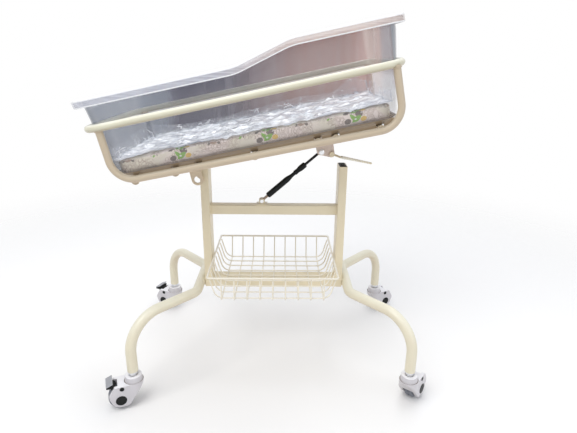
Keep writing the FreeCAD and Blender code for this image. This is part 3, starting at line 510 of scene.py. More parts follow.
@dataclass(frozen=True)
class CrumpledFilm(Finish):
    """Thin clear film in several layers, white where it lies on the pad, with painted highlights along its
    creases and fold lines.

    Attributes:
        shade: Tint of its duller patches.
        fold_highlight_ends: Ends of the painted highlight lines on its long fold lines, along and across the
            model.
    """

    shade: Colour = (0.60, 0.66, 0.76)
    fold_highlight_ends: tuple[tuple[Spot, Spot], ...] = (
        ((-0.395, -0.182), (-0.325, 0.07)), ((-0.395, -0.182), (-0.18, 0.16)),
        ((-0.393, -0.180), (-0.13, 0.03)), ((-0.325, 0.07), (-0.20, 0.10)), ((-0.26, -0.02), (-0.10, 0.10)),
        ((0.24, 0.10), (0.335, 0.02)), ((0.27, 0.15), (0.335, -0.12)), ((0.10, -0.02), (0.31, 0.14)))

    def fold_highlight(self, mix: Recipe, place: Wire, start: Spot, end: Spot) -> Wire:
        """Thin painted highlight line between two places, seen from above.

        Args:
            mix: The material being put together.
            place: Coordinates in metres.
            start: One end of the line.
            end: Its other end.

        Returns:
            1 on the line and 0 off it.
        """
        run = Vector(end) - Vector(start)
        way = run.normalized()
        x, y = mix.part(place, "X") - start[0], mix.part(place, "Y") - start[1]
        along = x * way.x + y * way.y
        off = abs(y * way.x - x * way.y)
        return off.step(0.0008, 0.0026, 1.0, 0.0) * (along > 0.0) * (along < run.length)

    def recipe(self) -> bpy.types.Material:
        """Builds the material.

        Returns:
            The finished material.
        """
        mix = Recipe(self.name)
        here = mix.place()
        layers = mix.laid("layers")
        crease = mix.laid("crease")
        warp = mix.moved(here, mix.noise(here, 18.0, 3.0, 0.6) * 0.02)
        long = mix.stretched(warp, (0.8, 2.6, 1.6), (0.25, 0.1, 0.35))
        short = mix.stretched(warp, (2.2, 1.1, 1.5), (0.0, 0.3, -0.6))
        line = mix.cells(long, 15.0, "DISTANCE_TO_EDGE").step(0.0, 0.035, 1.0, 0.0)
        fine = mix.cells(short, 34.0, "DISTANCE_TO_EDGE").step(0.0, 0.05, 1.0, 0.0)
        broken = mix.noise(here, 34.0, 2.0).step(0.42, 0.60)
        gentle = mix.moved(here, mix.noise(here, 11.0, 2.0, 0.5) * 0.03)
        shift = mix.moved(gentle, (-0.015, -0.015, 0.0))
        fold_highlights = self.fold_highlight(mix, shift, *self.fold_highlight_ends[0])
        for ends in self.fold_highlight_ends[1:]:
            fold_highlights = fold_highlights.atleast(self.fold_highlight(mix, shift, *ends))
        # white crease lines: painted highlights along the creases and the long fold lines
        line = (line * broken + fine * broken * 0.35 + crease * 0.5 + fold_highlights * 0.9).upto(1.0)
        cloud = mix.noise(mix.stretched(here, (1.0, 3.0, 2.0), (0.0, 0.0, 0.3)), 14.0, 4.0, 0.6)
        height = mix.cells(long, 15.0) + mix.cells(short, 34.0) * 0.4 + cloud * 0.7
        weight = layers.step(0.0, 1.0, 0.15, 0.90) * cloud.step(0.25, 0.7, 0.76, 1.05) + line * 0.55
        colour = mix.mix(cloud.step(0.38, 0.66, 0.75, 0.0), self.tint, self.shade)
        # painted highlight colour on the crease lines
        colour = mix.mix(line, colour, (0.97, 0.98, 1.0))
        solid = mix.surface({"Base Color": colour, "Roughness": self.rough, "Specular IOR Level": 0.6,
                             "Coat Weight": 0.7, "Coat Roughness": 0.08,
                             "Normal": mix.bump(height, 0.004, 0.9)})
        return mix.glazed(weight.upto(0.96), (0.99, 0.99, 1.0), solid)


@dataclass(frozen=True)
class PrintedCotton(Finish):
    """Pad cover: woven cotton with rows of leaf and berry sprigs over loose scribbled loops.

    Attributes:
        pitch: Distance between sprigs along a row, and between rows, in metres.
        start: Place of the first sprig along the pad.
    """

    panel: Colour = (0.86, 0.79, 0.64)
    line: Colour = (0.38, 0.25, 0.17)
    leaf: Colour = (0.22, 0.48, 0.03)
    petal: Colour = (0.83, 0.55, 0.08)
    bark: Colour = (0.15, 0.105, 0.075)
    vein: Colour = (0.86, 0.88, 0.80)
    pitch: tuple[float, float] = (0.232, 0.110)
    start: float = -0.020

    def recipe(self) -> bpy.types.Material:
        """Builds the material.

        Returns:
            The finished material.
        """
        mix = Recipe(self.name)
        cloth = mix.add("ShaderNodeUVMap", {"uv_map": "cloth"}, {})
        u, v = mix.part(cloth, "X"), mix.part(cloth, "Y")
        patch = mix.noise(cloth, 9.0, 1.0, 0.4).step(0.44, 0.56)
        colour = mix.mix(patch, self.tint, self.panel)
        warped = mix.moved(cloth, mix.noise(cloth, 60.0, 2.0) * 0.010)
        colour = mix.mix(self.scribble(mix, warped) * 0.8, colour, self.line)
        row = mix.add("ShaderNodeMath", {"operation": "FLOOR"}, {0: v / self.pitch[1]})
        shift = u - self.start + row * self.pitch[0] * 0.5
        for place, ink, shape, size, turn in (
                ((-0.0225, -0.0065), self.bark, self.berry, 0.0088, 0.3),
                ((0.0085, 0.0085), self.bark, self.berry, 0.0100, -0.4),
                ((0.0010, -0.0035), self.leaf, self.sprig, 0.0150, 0.5),
                ((-0.0075, 0.0010), self.leaf, self.sprig, 0.0120, 2.2),
                ((0.0185, -0.0060), self.petal, self.berry, 0.0080, 0.2),
                ((-0.0020, -0.0035), self.vein, self.berry, 0.0030, 0.0),
                ((0.0150, 0.0100), self.vein, self.berry, 0.0016, 0.0),
                ((0.078, 0.0115), self.bark, self.berry, 0.0040, 0.5),
                ((0.104, 0.0100), self.bark, self.berry, 0.0046, -0.4),
                ((0.091, 0.0120), self.line, self.sprig, 0.0100, 0.05),
                ((-0.070, 0.0105), self.leaf, self.sprig, 0.0062, 0.7),
                ((-0.062, 0.0125), self.bark, self.sprig, 0.0045, 1.7)):
            across = self.folded(mix, shift - place[0], self.pitch[0])
            up = self.folded(mix, v - place[1] - self.pitch[1] / 2, self.pitch[1])
            colour = mix.mix(shape(across, up, size, turn), colour, ink)
        weave = (u * 5200.0).sine() * (v * 5200.0).sine()
        fuzz = mix.noise(cloth, 900.0, 3.0)
        crease = mix.noise(mix.stretched(cloth, (0.5, 3.0, 1.0)), 16.0, 3.0, 0.6)
        return mix.finish(mix.surface({"Base Color": mix.mix(fuzz * 0.10, colour, (0.5, 0.45, 0.38)),
                                       "Roughness": self.rough, "Sheen Weight": 0.2,
                                       "Normal": mix.bump(weave * 0.3 + fuzz * 0.4 + crease * 4.0, 0.0004)}))

    def folded(self, mix: Recipe, value: Wire, pitch: float) -> Wire:
        """Distance from the nearest whole number of pitches, with its sign."""
        return mix.add("ShaderNodeMath", {"operation": "WRAP"}, {0: value, 1: pitch / 2, 2: -pitch / 2})

    def scribble(self, mix: Recipe, cloth: Wire) -> Wire:
        """Thin loops round scattered points, in groups.

        Args:
            mix: The material being put together.
            cloth: Coordinates on the cloth.

        Returns:
            1 on the loops and 0 off them.
        """
        far = mix.cells(cloth, 78.0, flat=True)
        rings = (abs(far - 0.34) < 0.06).atleast(abs(far - 0.60) < 0.05)
        return rings * mix.noise(cloth, 15.0, 1.0).step(0.42, 0.48)

    def berry(self, x: Wire, y: Wire, size: float, turn: float) -> Wire:
        """Oval spot, turned.

        Args:
            x: Distance from its middle along the cloth.
            y: Distance from its middle across the cloth.
            size: Half its length.
            turn: Its turn, in radians.

        Returns:
            1 inside it and 0 outside.
        """
        long = x * math.cos(turn) + y * math.sin(turn)
        wide = y * math.cos(turn) - x * math.sin(turn)
        return (long * long + wide * wide * 1.7) < size ** 2

    def sprig(self, x: Wire, y: Wire, size: float, turn: float) -> Wire:
        """Pointed leaf, turned.

        Args:
            x: Distance from its middle along the cloth.
            y: Distance from its middle across the cloth.
            size: Half its length.
            turn: Its turn, in radians.

        Returns:
            1 inside it and 0 outside.
        """
        long = (x * math.cos(turn) + y * math.sin(turn)) / size
        wide = (y * math.cos(turn) - x * math.sin(turn)) / size
        return abs(wide) < (1.0 - long * long) * 0.42


@dataclass(frozen=True)
class TwistedCord(Finish):
    """Cream rod wound with two strands, dark in the grooves between them where the core's painted shade
    shows.
    """

    def recipe(self) -> bpy.types.Material:
        """Builds the material.

        Returns:
            The finished material.
        """
        mix = Recipe(self.name)
        here = mix.place()
        fibre = mix.noise(mix.stretched(here, (1.0, 8.0, 8.0)), 400.0, 3.0)
        colour = mix.mix(fibre.step(0.5, 0.75) * 0.35, self.tint, (0.45, 0.40, 0.30))
        return mix.finish(mix.surface({"Base Color": colour, "Roughness": self.rough,
                                       "Normal": mix.bump(fibre, 0.0001)}))


# Every Toned paint below paints light on what faces up and shade on what faces down.
CREAM = Toned("CreamPaint", (0.80, 0.71, 0.51), 0.38, (0.86, 0.80, 0.62), (0.60, 0.46, 0.29))
LEG_PAINT = Toned("PaleCreamPaint", (0.78, 0.725, 0.56), 0.36, (0.86, 0.85, 0.72), (0.58, 0.46, 0.31))
# paler copy of the cream paint for the basket wires: painted light
LIT_WIRE_PAINT = Toned("LitWireCreamPaint", (0.86, 0.81, 0.68), 0.40, (0.92, 0.90, 0.82), (0.66, 0.56, 0.42))
RAIL = Toned("GreenishCreamPaint", (0.70, 0.68, 0.53), 0.34, (0.87, 0.87, 0.77), (0.50, 0.42, 0.29))
# shaded copy of the cream paint for the cradles and cross tubes: painted shade, darkest on top where the tub
# shades them
SHADED = Toned("ShadedCreamPaint", (0.55, 0.46, 0.335), 0.42, (0.24, 0.205, 0.145), (0.60, 0.465, 0.33))
# shaded copy of the cream paint for the pivot ears: painted shade under the tray
SHADED_EAR_PAINT = Toned("ShadedEarPaint", (0.70, 0.58, 0.42), 0.40, (0.74, 0.64, 0.49), (0.52, 0.40, 0.27))
# pinkish copy of the cream paint for the brackets: painted light and shade on the same paint
BRACKET = Toned("PinkishBracketPaint", (0.70, 0.58, 0.50), 0.42, (0.72, 0.62, 0.56), (0.52, 0.40, 0.33))
# caster shells: white on what faces up and grey on the sides, painted highlight and painted shade
SHELL = Toned("LilacWhiteShell", (0.62, 0.60, 0.625), 0.34, (0.95, 0.96, 1.0), (0.44, 0.41, 0.41), 0.00004)
BLACK_PLASTIC = Moulded("BlackPlastic", (0.008, 0.009, 0.009), 0.45, 0.00006, 0.04, 0.22)
NYLON = Moulded("WhiteNylon", (0.82, 0.81, 0.78), 0.4)
PEDAL = Moulded("GreyPedalPlastic", (0.40, 0.41, 0.44), 0.46, 0.00010, 0.35)
ZINC = Metal("ZincPlate", (0.80, 0.81, 0.83), 0.36)
AGED_ZINC = Metal("BrownedZinc", (0.36, 0.28, 0.22), 0.42)
ROD = Moulded("BlackenedRod", (0.010, 0.011, 0.012), 0.34, 0.00002, 0.02, 0.25)
SPRING_PAINT = Moulded("SatinBlackPaint", (0.006, 0.008, 0.008), 0.40, 0.00002, 0.02, 0.22)
RUBBER = Tread("GreyTreadRubber", (0.14, 0.15, 0.18), 0.6)
# its smoky tints are painted reflections on clear plastic
TUB_PLASTIC = ClearShell("ClearPlasticPaintedReflections", (0.27, 0.26, 0.33), 0.08)
FILM = CrumpledFilm("CrumpledClearFilm", (0.90, 0.93, 0.96), 0.24)
COTTON = PrintedCotton("PrintedCotton", (0.95, 0.83, 0.755), 0.85)
CORD_GRIP = TwistedCord("TwistedGrip", (0.88, 0.85, 0.74), 0.55)
# dark brown for grooves and the lever's core: painted shade
GROOVE_SHADE = Moulded("PaintedGrooveShade", (0.16, 0.12, 0.08), 0.8)


class Slot(Enum):
    """The record's material slots, each with the finish that its CAD nodes take."""

    CREAM = ("cream_paint", CREAM)
    BRACKET = ("bracket_paint", BRACKET)
    PLUG = ("black_plastic", BLACK_PLASTIC)
    NYLON = ("nylon", NYLON)
    ZINC = ("zinc_steel", ZINC)
    SPRING = ("black_paint", SPRING_PAINT)
    ROD = ("rod_steel", ROD)
    TUB = ("clear_plastic", TUB_PLASTIC)
    PAD = ("mattress_cloth", COTTON)
    FILM = ("clear_film", FILM)
    SHELL = ("caster_shell", SHELL)
    RUBBER = ("wheel_rubber", RUBBER)
    PEDAL = ("pedal_plastic", PEDAL)

    @property
    def label(self) -> str:
        """Name of the slot."""
        return self.value[0]

    @property
    def finish(self) -> Finish:
        """Finish of the slot."""
        return self.value[1]


# ------------------------------------------------------------------ building

BASE_PLACE = Matrix.Translation((21.7, -2.6, 0.0))
TRAY_PLACE = BASE_PLACE @ Matrix.Translation((-207.5, 0.0, 652.0)) @ Matrix.Rotation(-TILT, 4, "Y")


def smoothed(mesh: bpy.types.Mesh, angle: float) -> None:
    """Shades a mesh smooth, with edges sharper than the angle kept sharp."""
    mesh.shade_smooth()
    mesh.set_sharp_from_angle(angle=math.radians(angle))


@dataclass
class SubAssembly:
    """A group of pieces drawn in one place.

    Attributes:
        place: Turns the sizes that it is drawn in into the model's frame, in millimetres.
        made: Names of its finished pieces.
    """

    place: Matrix = field(default_factory=lambda: BASE_PLACE.copy())
    made: list[str] = field(default_factory=list)

    def put(self, name: str, bm: BMesh, slot: Slot, body: str, nodes: Sequence[str] = (),
            angle: float = 35.0, finish: Finish | None = None) -> bpy.types.Object:
        """Turns a bmesh into a finished piece of the object.

        Args:
            name: Name of the piece.
            bm: Its shape in millimetres, used up here.
            slot: Material slot and finish.
            body: The body that it rides on.
            nodes: CAD nodes that it stands for.
            angle: Edges sharper than this stay sharp.
            finish: Another finish than the slot's own.

        Returns:
            The new object.
        """
        bmesh.ops.remove_doubles(bm, verts=bm.verts, dist=0.002)
        bmesh.ops.transform(bm, matrix=Matrix.Scale(MM, 4) @ self.place, verts=bm.verts)
        bmesh.ops.recalc_face_normals(bm, faces=bm.faces)
        mesh = bpy.data.meshes.new(name)
        bm.to_mesh(mesh)
        bm.free()
        smoothed(mesh, angle)
        mesh.materials.append((finish or slot.finish).material())
        piece = bpy.data.objects.new(name, mesh)
        bpy.context.collection.objects.link(piece)
        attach(piece, body)
        if nodes:
            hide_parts(*nodes)
        self.made.append(name)
        return piece

    def eased(self, node: str, slot: Slot, width: float, finish: Finish | None = None) -> bpy.types.Object:
        """Stands a copy of a CAD node with rounded edges in its place.

        Args:
            node: The CAD node.
            slot: Material slot and finish.
            width: Width of the rounding, in millimetres.
            finish: Another finish than the slot's own.

        Returns:
            The new object.
        """
        source = frame["nodes"][node]
        bm = bmesh.new()
        bm.from_mesh(source.data)
        bmesh.ops.remove_doubles(bm, verts=bm.verts, dist=0.00001)
        bmesh.ops.dissolve_limit(bm, angle_limit=math.radians(0.5), verts=bm.verts, edges=bm.edges)
        bmesh.ops.transform(bm, matrix=(Matrix.Scale(MM, 4) @ self.place).inverted(), verts=bm.verts)
        sharp = [e for e in bm.edges if len(e.link_faces) == 2 and e.calc_face_angle(0.0) > 0.6]
        rounded(bm, sharp, width, clamp=True)
        return self.put(node + "_eased", bm, slot, source["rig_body"], [node], angle=38.0, finish=finish)

    def build(self) -> None:
        """Makes the pieces."""
        raise NotImplementedError


@dataclass
class OnTray(SubAssembly):
    """A group that is drawn level, from the tray's pivot."""

    place: Matrix = field(default_factory=lambda: TRAY_PLACE.copy())


def rounded(bm: BMesh, edges: Sequence[BMEdge], width: float, segments: int = 2, clamp: bool = False) -> None:
    """Bevels edges round; clamp keeps neighbouring bevels apart."""
    bmesh.ops.bevel(bm, geom=edges, offset=width, segments=segments, profile=0.5, affect="EDGES",
                    material=-1, clamp_overlap=clamp)


def block(bm: BMesh, size: Sequence[float], place: Matrix) -> None:
    """Adds a box with its middle at a place."""
    bmesh.ops.create_cube(bm, size=1.0, matrix=place @ Matrix.Diagonal((*size, 1.0)))


def facing(start: Vector, along: Vector) -> Matrix:
    """Matrix that puts the Z axis along a direction at a point."""
    return Matrix.Translation(start) @ along.to_track_quat("Z", "Y").to_matrix().to_4x4()


def bar(bm: BMesh, points: Sequence[Sequence[float]], bends: Union[float, Sequence[float]],
        diameter: float, closed: bool = False, sides: int = 20, arc: float = 7.5) -> None:
    """Round bar: a circle extruded along the straight runs and spun round the bends.

    Args:
        bm: Takes the new faces.
        points: Corners of its centre line.
        bends: Radius at every corner, or one for each.
        diameter: Outside diameter.
        closed: Whether it is a ring.
        sides: Sides of the circle.
        arc: Degrees of bend to a step.
    """
    line = [Vector(p) for p in points]
    count = len(line)
    radii = list(bends) if isinstance(bends, (list, tuple)) else [bends] * count
    corners = range(count) if closed else range(1, count - 1)
    turns = {}
    for i in corners:
        back = (line[i - 1] - line[i]).normalized()
        ahead = (line[(i + 1) % count] - line[i]).normalized()
        half = back.angle(ahead) / 2
        reach = radii[i] / math.tan(half)
        middle = line[i] + (back + ahead).normalized() * radii[i] / math.sin(half)
        axis = back.cross(ahead).normalized()
        turns[i] = (line[i] + back * reach, middle, axis, math.pi - 2 * half, line[i] + ahead * reach)
    first = turns[0][4] if closed else line[0]
    order = list(range(1, count)) + ([0] if closed else [])
    ahead = (line[1] - line[0]).normalized()
    made = bmesh.ops.create_circle(bm, cap_ends=False, segments=sides, radius=diameter / 2,
                                   matrix=facing(first, ahead))
    start_ring = list({e for v in made["verts"] for e in v.link_edges})
    ring, last = start_ring, first
    for i in order:
        target = turns[i][0] if i in turns else line[i]
        if (target - last).length > 1e-4:
            grown = bmesh.ops.extrude_edge_only(bm, edges=ring)["geom"]
            bmesh.ops.translate(bm, vec=target - last, verts=[g for g in grown if isinstance(g, BMVert)])
            ring = [g for g in grown if isinstance(g, BMEdge)]
        last = target
        if i in turns:
            _, middle, axis, angle, end = turns[i]
            steps = max(2, round(math.degrees(angle) / arc))
            ends = {v for e in ring for v in e.verts}
            grown = bmesh.ops.spin(bm, geom=ring + list(ends), cent=middle, axis=axis, angle=-angle,
                                   steps=steps, dvec=(0, 0, 0), use_duplicate=False)["geom_last"]
            ring = [g for g in grown if isinstance(g, BMEdge)]
            last = end
    if not closed:
        bmesh.ops.edgeloop_fill(bm, edges=start_ring)
        bmesh.ops.edgeloop_fill(bm, edges=ring)


def turned(bm: BMesh, profile: Sequence[tuple[float, float]], place: Matrix, steps: int = 32) -> None:
    """Solid of revolution about the Z axis of a place.

    Args:
        bm: Takes the new faces.
        profile: Radius and height of each point, from one end to the other.
        place: Where its own origin and axis go.
        steps: Faces round it.
    """
    verts = [bm.verts.new((max(r, 0.0), 0.0, z)) for r, z in profile]
    edges = [bm.edges.new(pair) for pair in zip(verts, verts[1:])]
    made = bmesh.ops.spin(bm, geom=verts + edges, cent=(0, 0, 0), axis=(0, 0, 1), angle=math.tau,
                          steps=steps, dvec=(0, 0, 0), use_merge=True, use_duplicate=False)
    fresh = set(verts) | {f for f in made["geom_last"] if isinstance(f, BMVert)}
    reach = set(fresh)
    while fresh:
        fresh = {e.other_vert(v) for v in fresh for e in v.link_edges} - reach
        reach |= fresh
    bmesh.ops.transform(bm, matrix=place, verts=list(reach))


Run = tuple[list[Vector], list[float], bool]


def piped(bm: BMesh, runs: Sequence[Run], sides: int = 2) -> None:
    """Tubes of changing thickness, drawn as the splines of one curve and made a mesh.

    Args:
        bm: Takes the new faces.
        runs: Points, radii and whether the tube is closed, for each tube.
        sides: Bevel resolution of the curve.
    """
    data = bpy.data.curves.new("piped", "CURVE")
    data.dimensions = "3D"
    data.bevel_depth = 1.0
    data.bevel_resolution = sides
    data.use_fill_caps = True
    for points, radii, closed in runs:
        spline = data.splines.new("POLY")
        spline.points.add(len(points) - 1)
        for point, spot, radius in zip(spline.points, points, radii):
            point.co = (*spot, 1.0)
            point.radius = radius
        spline.use_cyclic_u = closed
    holder = bpy.data.objects.new("piped", data)
    mesh = bpy.data.meshes.new_from_object(holder)
    bm.from_mesh(mesh)
    bpy.data.objects.remove(holder)
    bpy.data.curves.remove(data)
    bpy.data.meshes.remove(mesh)


def weld(runs: list[Run], points: Sequence[Vector], size: float, closed: bool = False,
         seed: int = 1) -> None:
    """Rippled weld bead along a line.

    Args:
        runs: Takes the new bead.
        points: The line that it follows.
        size: Radius of the bead.
        closed: Whether it ends where it starts.
        seed: Seed of its unevenness.
    """
    dice = random.Random(seed)
    line = [Vector(p) for p in points] + ([Vector(points[0])] if closed else [])
    spots = []
    for start, end in zip(line, line[1:]):
        count = max(1, round((end - start).length / (size * 0.55)))
        spots += [start.lerp(end, i / count) for i in range(count)]
    if not closed:
        spots.append(line[-1])
    radii = [size * (0.86 + 0.14 * abs(math.sin(i * 0.9)) + dice.uniform(-0.05, 0.05))
             for i in range(len(spots))]
    runs.append((spots, radii, closed))


def circle_points(middle: Sequence[float], radius: float, across: Vector, up: Vector,
                  count: int = 24) -> list[Vector]:
    """Points round a circle in the plane of two directions."""
    return [Vector(middle) + (across * math.cos(math.tau * i / count) + up * math.sin(math.tau * i / count))
            * radius for i in range(count)]


# ------------------------------------------------------------------ base

@dataclass
class Base(SubAssembly):
    """Bent legs, the welds where the legs, the beam and the crossbar meet the posts, and the posts' small
    fittings.
    """

    leg_tube: float = 30.0
    half_x: float = 394.0
    half_y: float = 270.0
    arm_height: float = 263.0
    knee_y: float = 96.0
    stem_top: float = 105.5
    bends: tuple[float, float] = (100.0, 46.0)
    span: float = 440.0
    post_width: float = 25.0
    cross_ends: tuple[tuple[float, float, float], ...] = ((29.0, 249.0, 272.5), (14.5, 488.5, 517.0))
    sleeve: tuple[float, float] = (12.7, 652.0)
    plug_rib: tuple[float, float, float] = (200.5, 214.5, 644.9)

    def leg(self, side: int, name: str) -> None:
        """One bent leg tube.

        Args:
            side: -1 for the foot end, 1 for the head end.
            name: Its name in the model.
        """
        run_x = self.span / 2 + self.leg_tube / 2
        corners = [(self.half_x, self.half_y, self.stem_top), (self.half_x, self.half_y, self.arm_height),
                   (run_x, self.knee_y, self.arm_height)]
        front = [(side * x, -y, z) for x, y, z in corners]
        rear = [(side * x, y, z) for x, y, z in reversed(corners)]
        bm = bmesh.new()
        big, small = self.bends
        bar(bm, front + rear, [0, big, small, small, big, 0], self.leg_tube, sides=32, arc=5.0)
        self.put("bent_leg_" + name, bm, Slot.CREAM, "base", ["leg_" + name], finish=LEG_PAINT)

    def welds(self) -> None:
        """Beads where the legs, the beam and the crossbar meet the posts."""
        runs: list[Run] = []
        face = self.span / 2
        inner = face - self.post_width
        for side in (-1, 1):
            for up in (-1, 1):
                z = self.arm_height + up * 7.5
                weld(runs, [Vector((side * (face + 1.3), -29, z)), Vector((side * (face + 1.3), 29, z))],
                     2.6, seed=side * 3 + up)
            for half_y, low, high in self.cross_ends:
                x = side * inner
                square = [(x, -half_y, low), (x, half_y, low), (x, half_y, high), (x, -half_y, high)]
                weld(runs, [Vector(p) for p in square], 1.8, closed=True, seed=7 + side)
        radius, height = self.sleeve
        for y in (-30.0, 30.0):
            weld(runs, circle_points((-(face - self.post_width / 2), y, height), radius, Vector((1, 0, 0)),
                                     Vector((0, 0, 1))), 1.5, closed=True)
        bm = bmesh.new()
        piped(bm, runs)
        self.put("base_welds", bm, Slot.CREAM, "base", angle=80.0)

    def plug_ribs(self) -> None:
        """Low ribs across the plug in the open post."""
        start, end, height = self.plug_rib
        bm = bmesh.new()
        for y in (-17.0, 0.0, 17.0):
            bar(bm, [(start, y, height), (end, y, height)], 0.0, 2.2, sides=12)
        self.put("plug_ribs", bm, Slot.PLUG, "base")

    def build(self) -> None:
        """Makes the pieces."""
        for side, name in ((-1, "left"), (1, "right")):
            self.leg(side, name)
        self.welds()
        self.plug_ribs()
        for node, slot, width in (("upright_plug", Slot.PLUG, 0.6), ("spring_foot", Slot.CREAM, 0.7),
                                  ("spring_foot_pin", Slot.ZINC, 0.6), ("pivot_bushes", Slot.NYLON, 0.4),
                                  ("upright_side_bolt", Slot.ZINC, 0.5)):
            self.eased(node, slot, width)


# ------------------------------------------------------------------ tray

@dataclass
class Tray(OnTray):
    """Ring, cradles and cross tubes of the tilting frame, drawn level from their pivot."""

    tube: float = 19.0
    length: float = 837.0
    width: float = 451.0
    corner: float = 65.0
    ahead: float = 170.0
    height: float = 171.5
    cradle_y: float = 206.0
    foot_drop: float = 144.5
    head_drop: float = 153.5
    bend: float = 58.0
    foot_inset: float = 51.5
    head_inset: float = 32.5
    cross_height: float = 20.5
    cross_places: tuple[float, ...] = (-150.0, -42.0, 20.0, 170.0, 338.0, 384.0, 500.0)
    ear_faces: tuple[float, float] = (35.0, 39.0)
    ear_weld: float = 9.6

    def build(self) -> None:
        """Makes the pieces."""
        half_x, half_y = self.length / 2 - self.tube / 2, self.width / 2 - self.tube / 2
        bm = bmesh.new()
        bar(bm, [(self.ahead + half_x * i, half_y * j, self.height)
                 for i, j in ((1, -1), (1, 1), (-1, 1), (-1, -1))], self.corner, self.tube, closed=True,
            sides=24, arc=4.5)
        self.put("ring_tube", bm, Slot.CREAM, "tray", ["tray_ring"], finish=RAIL)
        foot = self.ahead - self.length / 2 + self.foot_inset
        head = self.ahead + self.length / 2 - self.head_inset
        welds: list[Run] = []
        for side, name in ((-1, "front"), (1, "rear")):
            y = side * self.cradle_y
            bm = bmesh.new()
            bar(bm, [(foot, y, self.height - 3.0), (foot, y, self.height - self.foot_drop),
                     (head, y, self.height - self.head_drop), (head, y, self.height - 3.0)],
                self.bend, self.tube, sides=24, arc=5.0)
            self.put("cradle_tube_" + name, bm, Slot.CREAM, "tray", ["cradle_" + name], finish=SHADED)
            for x in (foot, head):
                weld(welds, circle_points((x, y, self.height - 9.0), 10.2, Vector((1, 0, 0)),
                                          Vector((0, 1, 0))), 1.7, closed=True, seed=int(x))
            for x in self.cross_places:
                weld(welds, circle_points((x, side * (self.cradle_y - 8.4), self.cross_height), 9.8,
                                          Vector((1, 0, 0)), Vector((0, 0, 1)), 18), 1.5, closed=True)
        for number, x in enumerate(self.cross_places, 1):
            bm = bmesh.new()
            bar(bm, [(x, side * (self.cradle_y - 4.0), self.cross_height) for side in (-1, 1)], 0.0,
                self.tube, sides=24)
            self.put("cross_bearer_%d" % number, bm, Slot.CREAM, "tray", ["cross_tube_%d" % number],
                     finish=SHADED)
        for side in (-1, 1):
            for x in (-42.0, 20.0):
                for face in self.ear_faces:
                    arch = [Vector((x + self.ear_weld * math.cos(a), side * face,
                                    self.cross_height + self.ear_weld * math.sin(a)))
                            for a in [math.pi + math.pi * i / 10 for i in range(11)]]
                    weld(welds, arch, 1.2, seed=3)
        bm = bmesh.new()
        piped(bm, welds)
        self.put("tray_welds", bm, Slot.CREAM, "tray", angle=80.0, finish=SHADED)
        for name in ("front", "rear"):
            self.eased("pivot_ear_" + name, Slot.CREAM, 0.9, SHADED_EAR_PAINT)
        for node, slot, width in (("pivot_bolt", Slot.ZINC, 0.7), ("spring_head_pin", Slot.ZINC, 0.6),
                                  ("spring_head_bracket", Slot.BRACKET, 0.7)):
            self.eased(node, slot, width)


# ------------------------------------------------------------------ tub

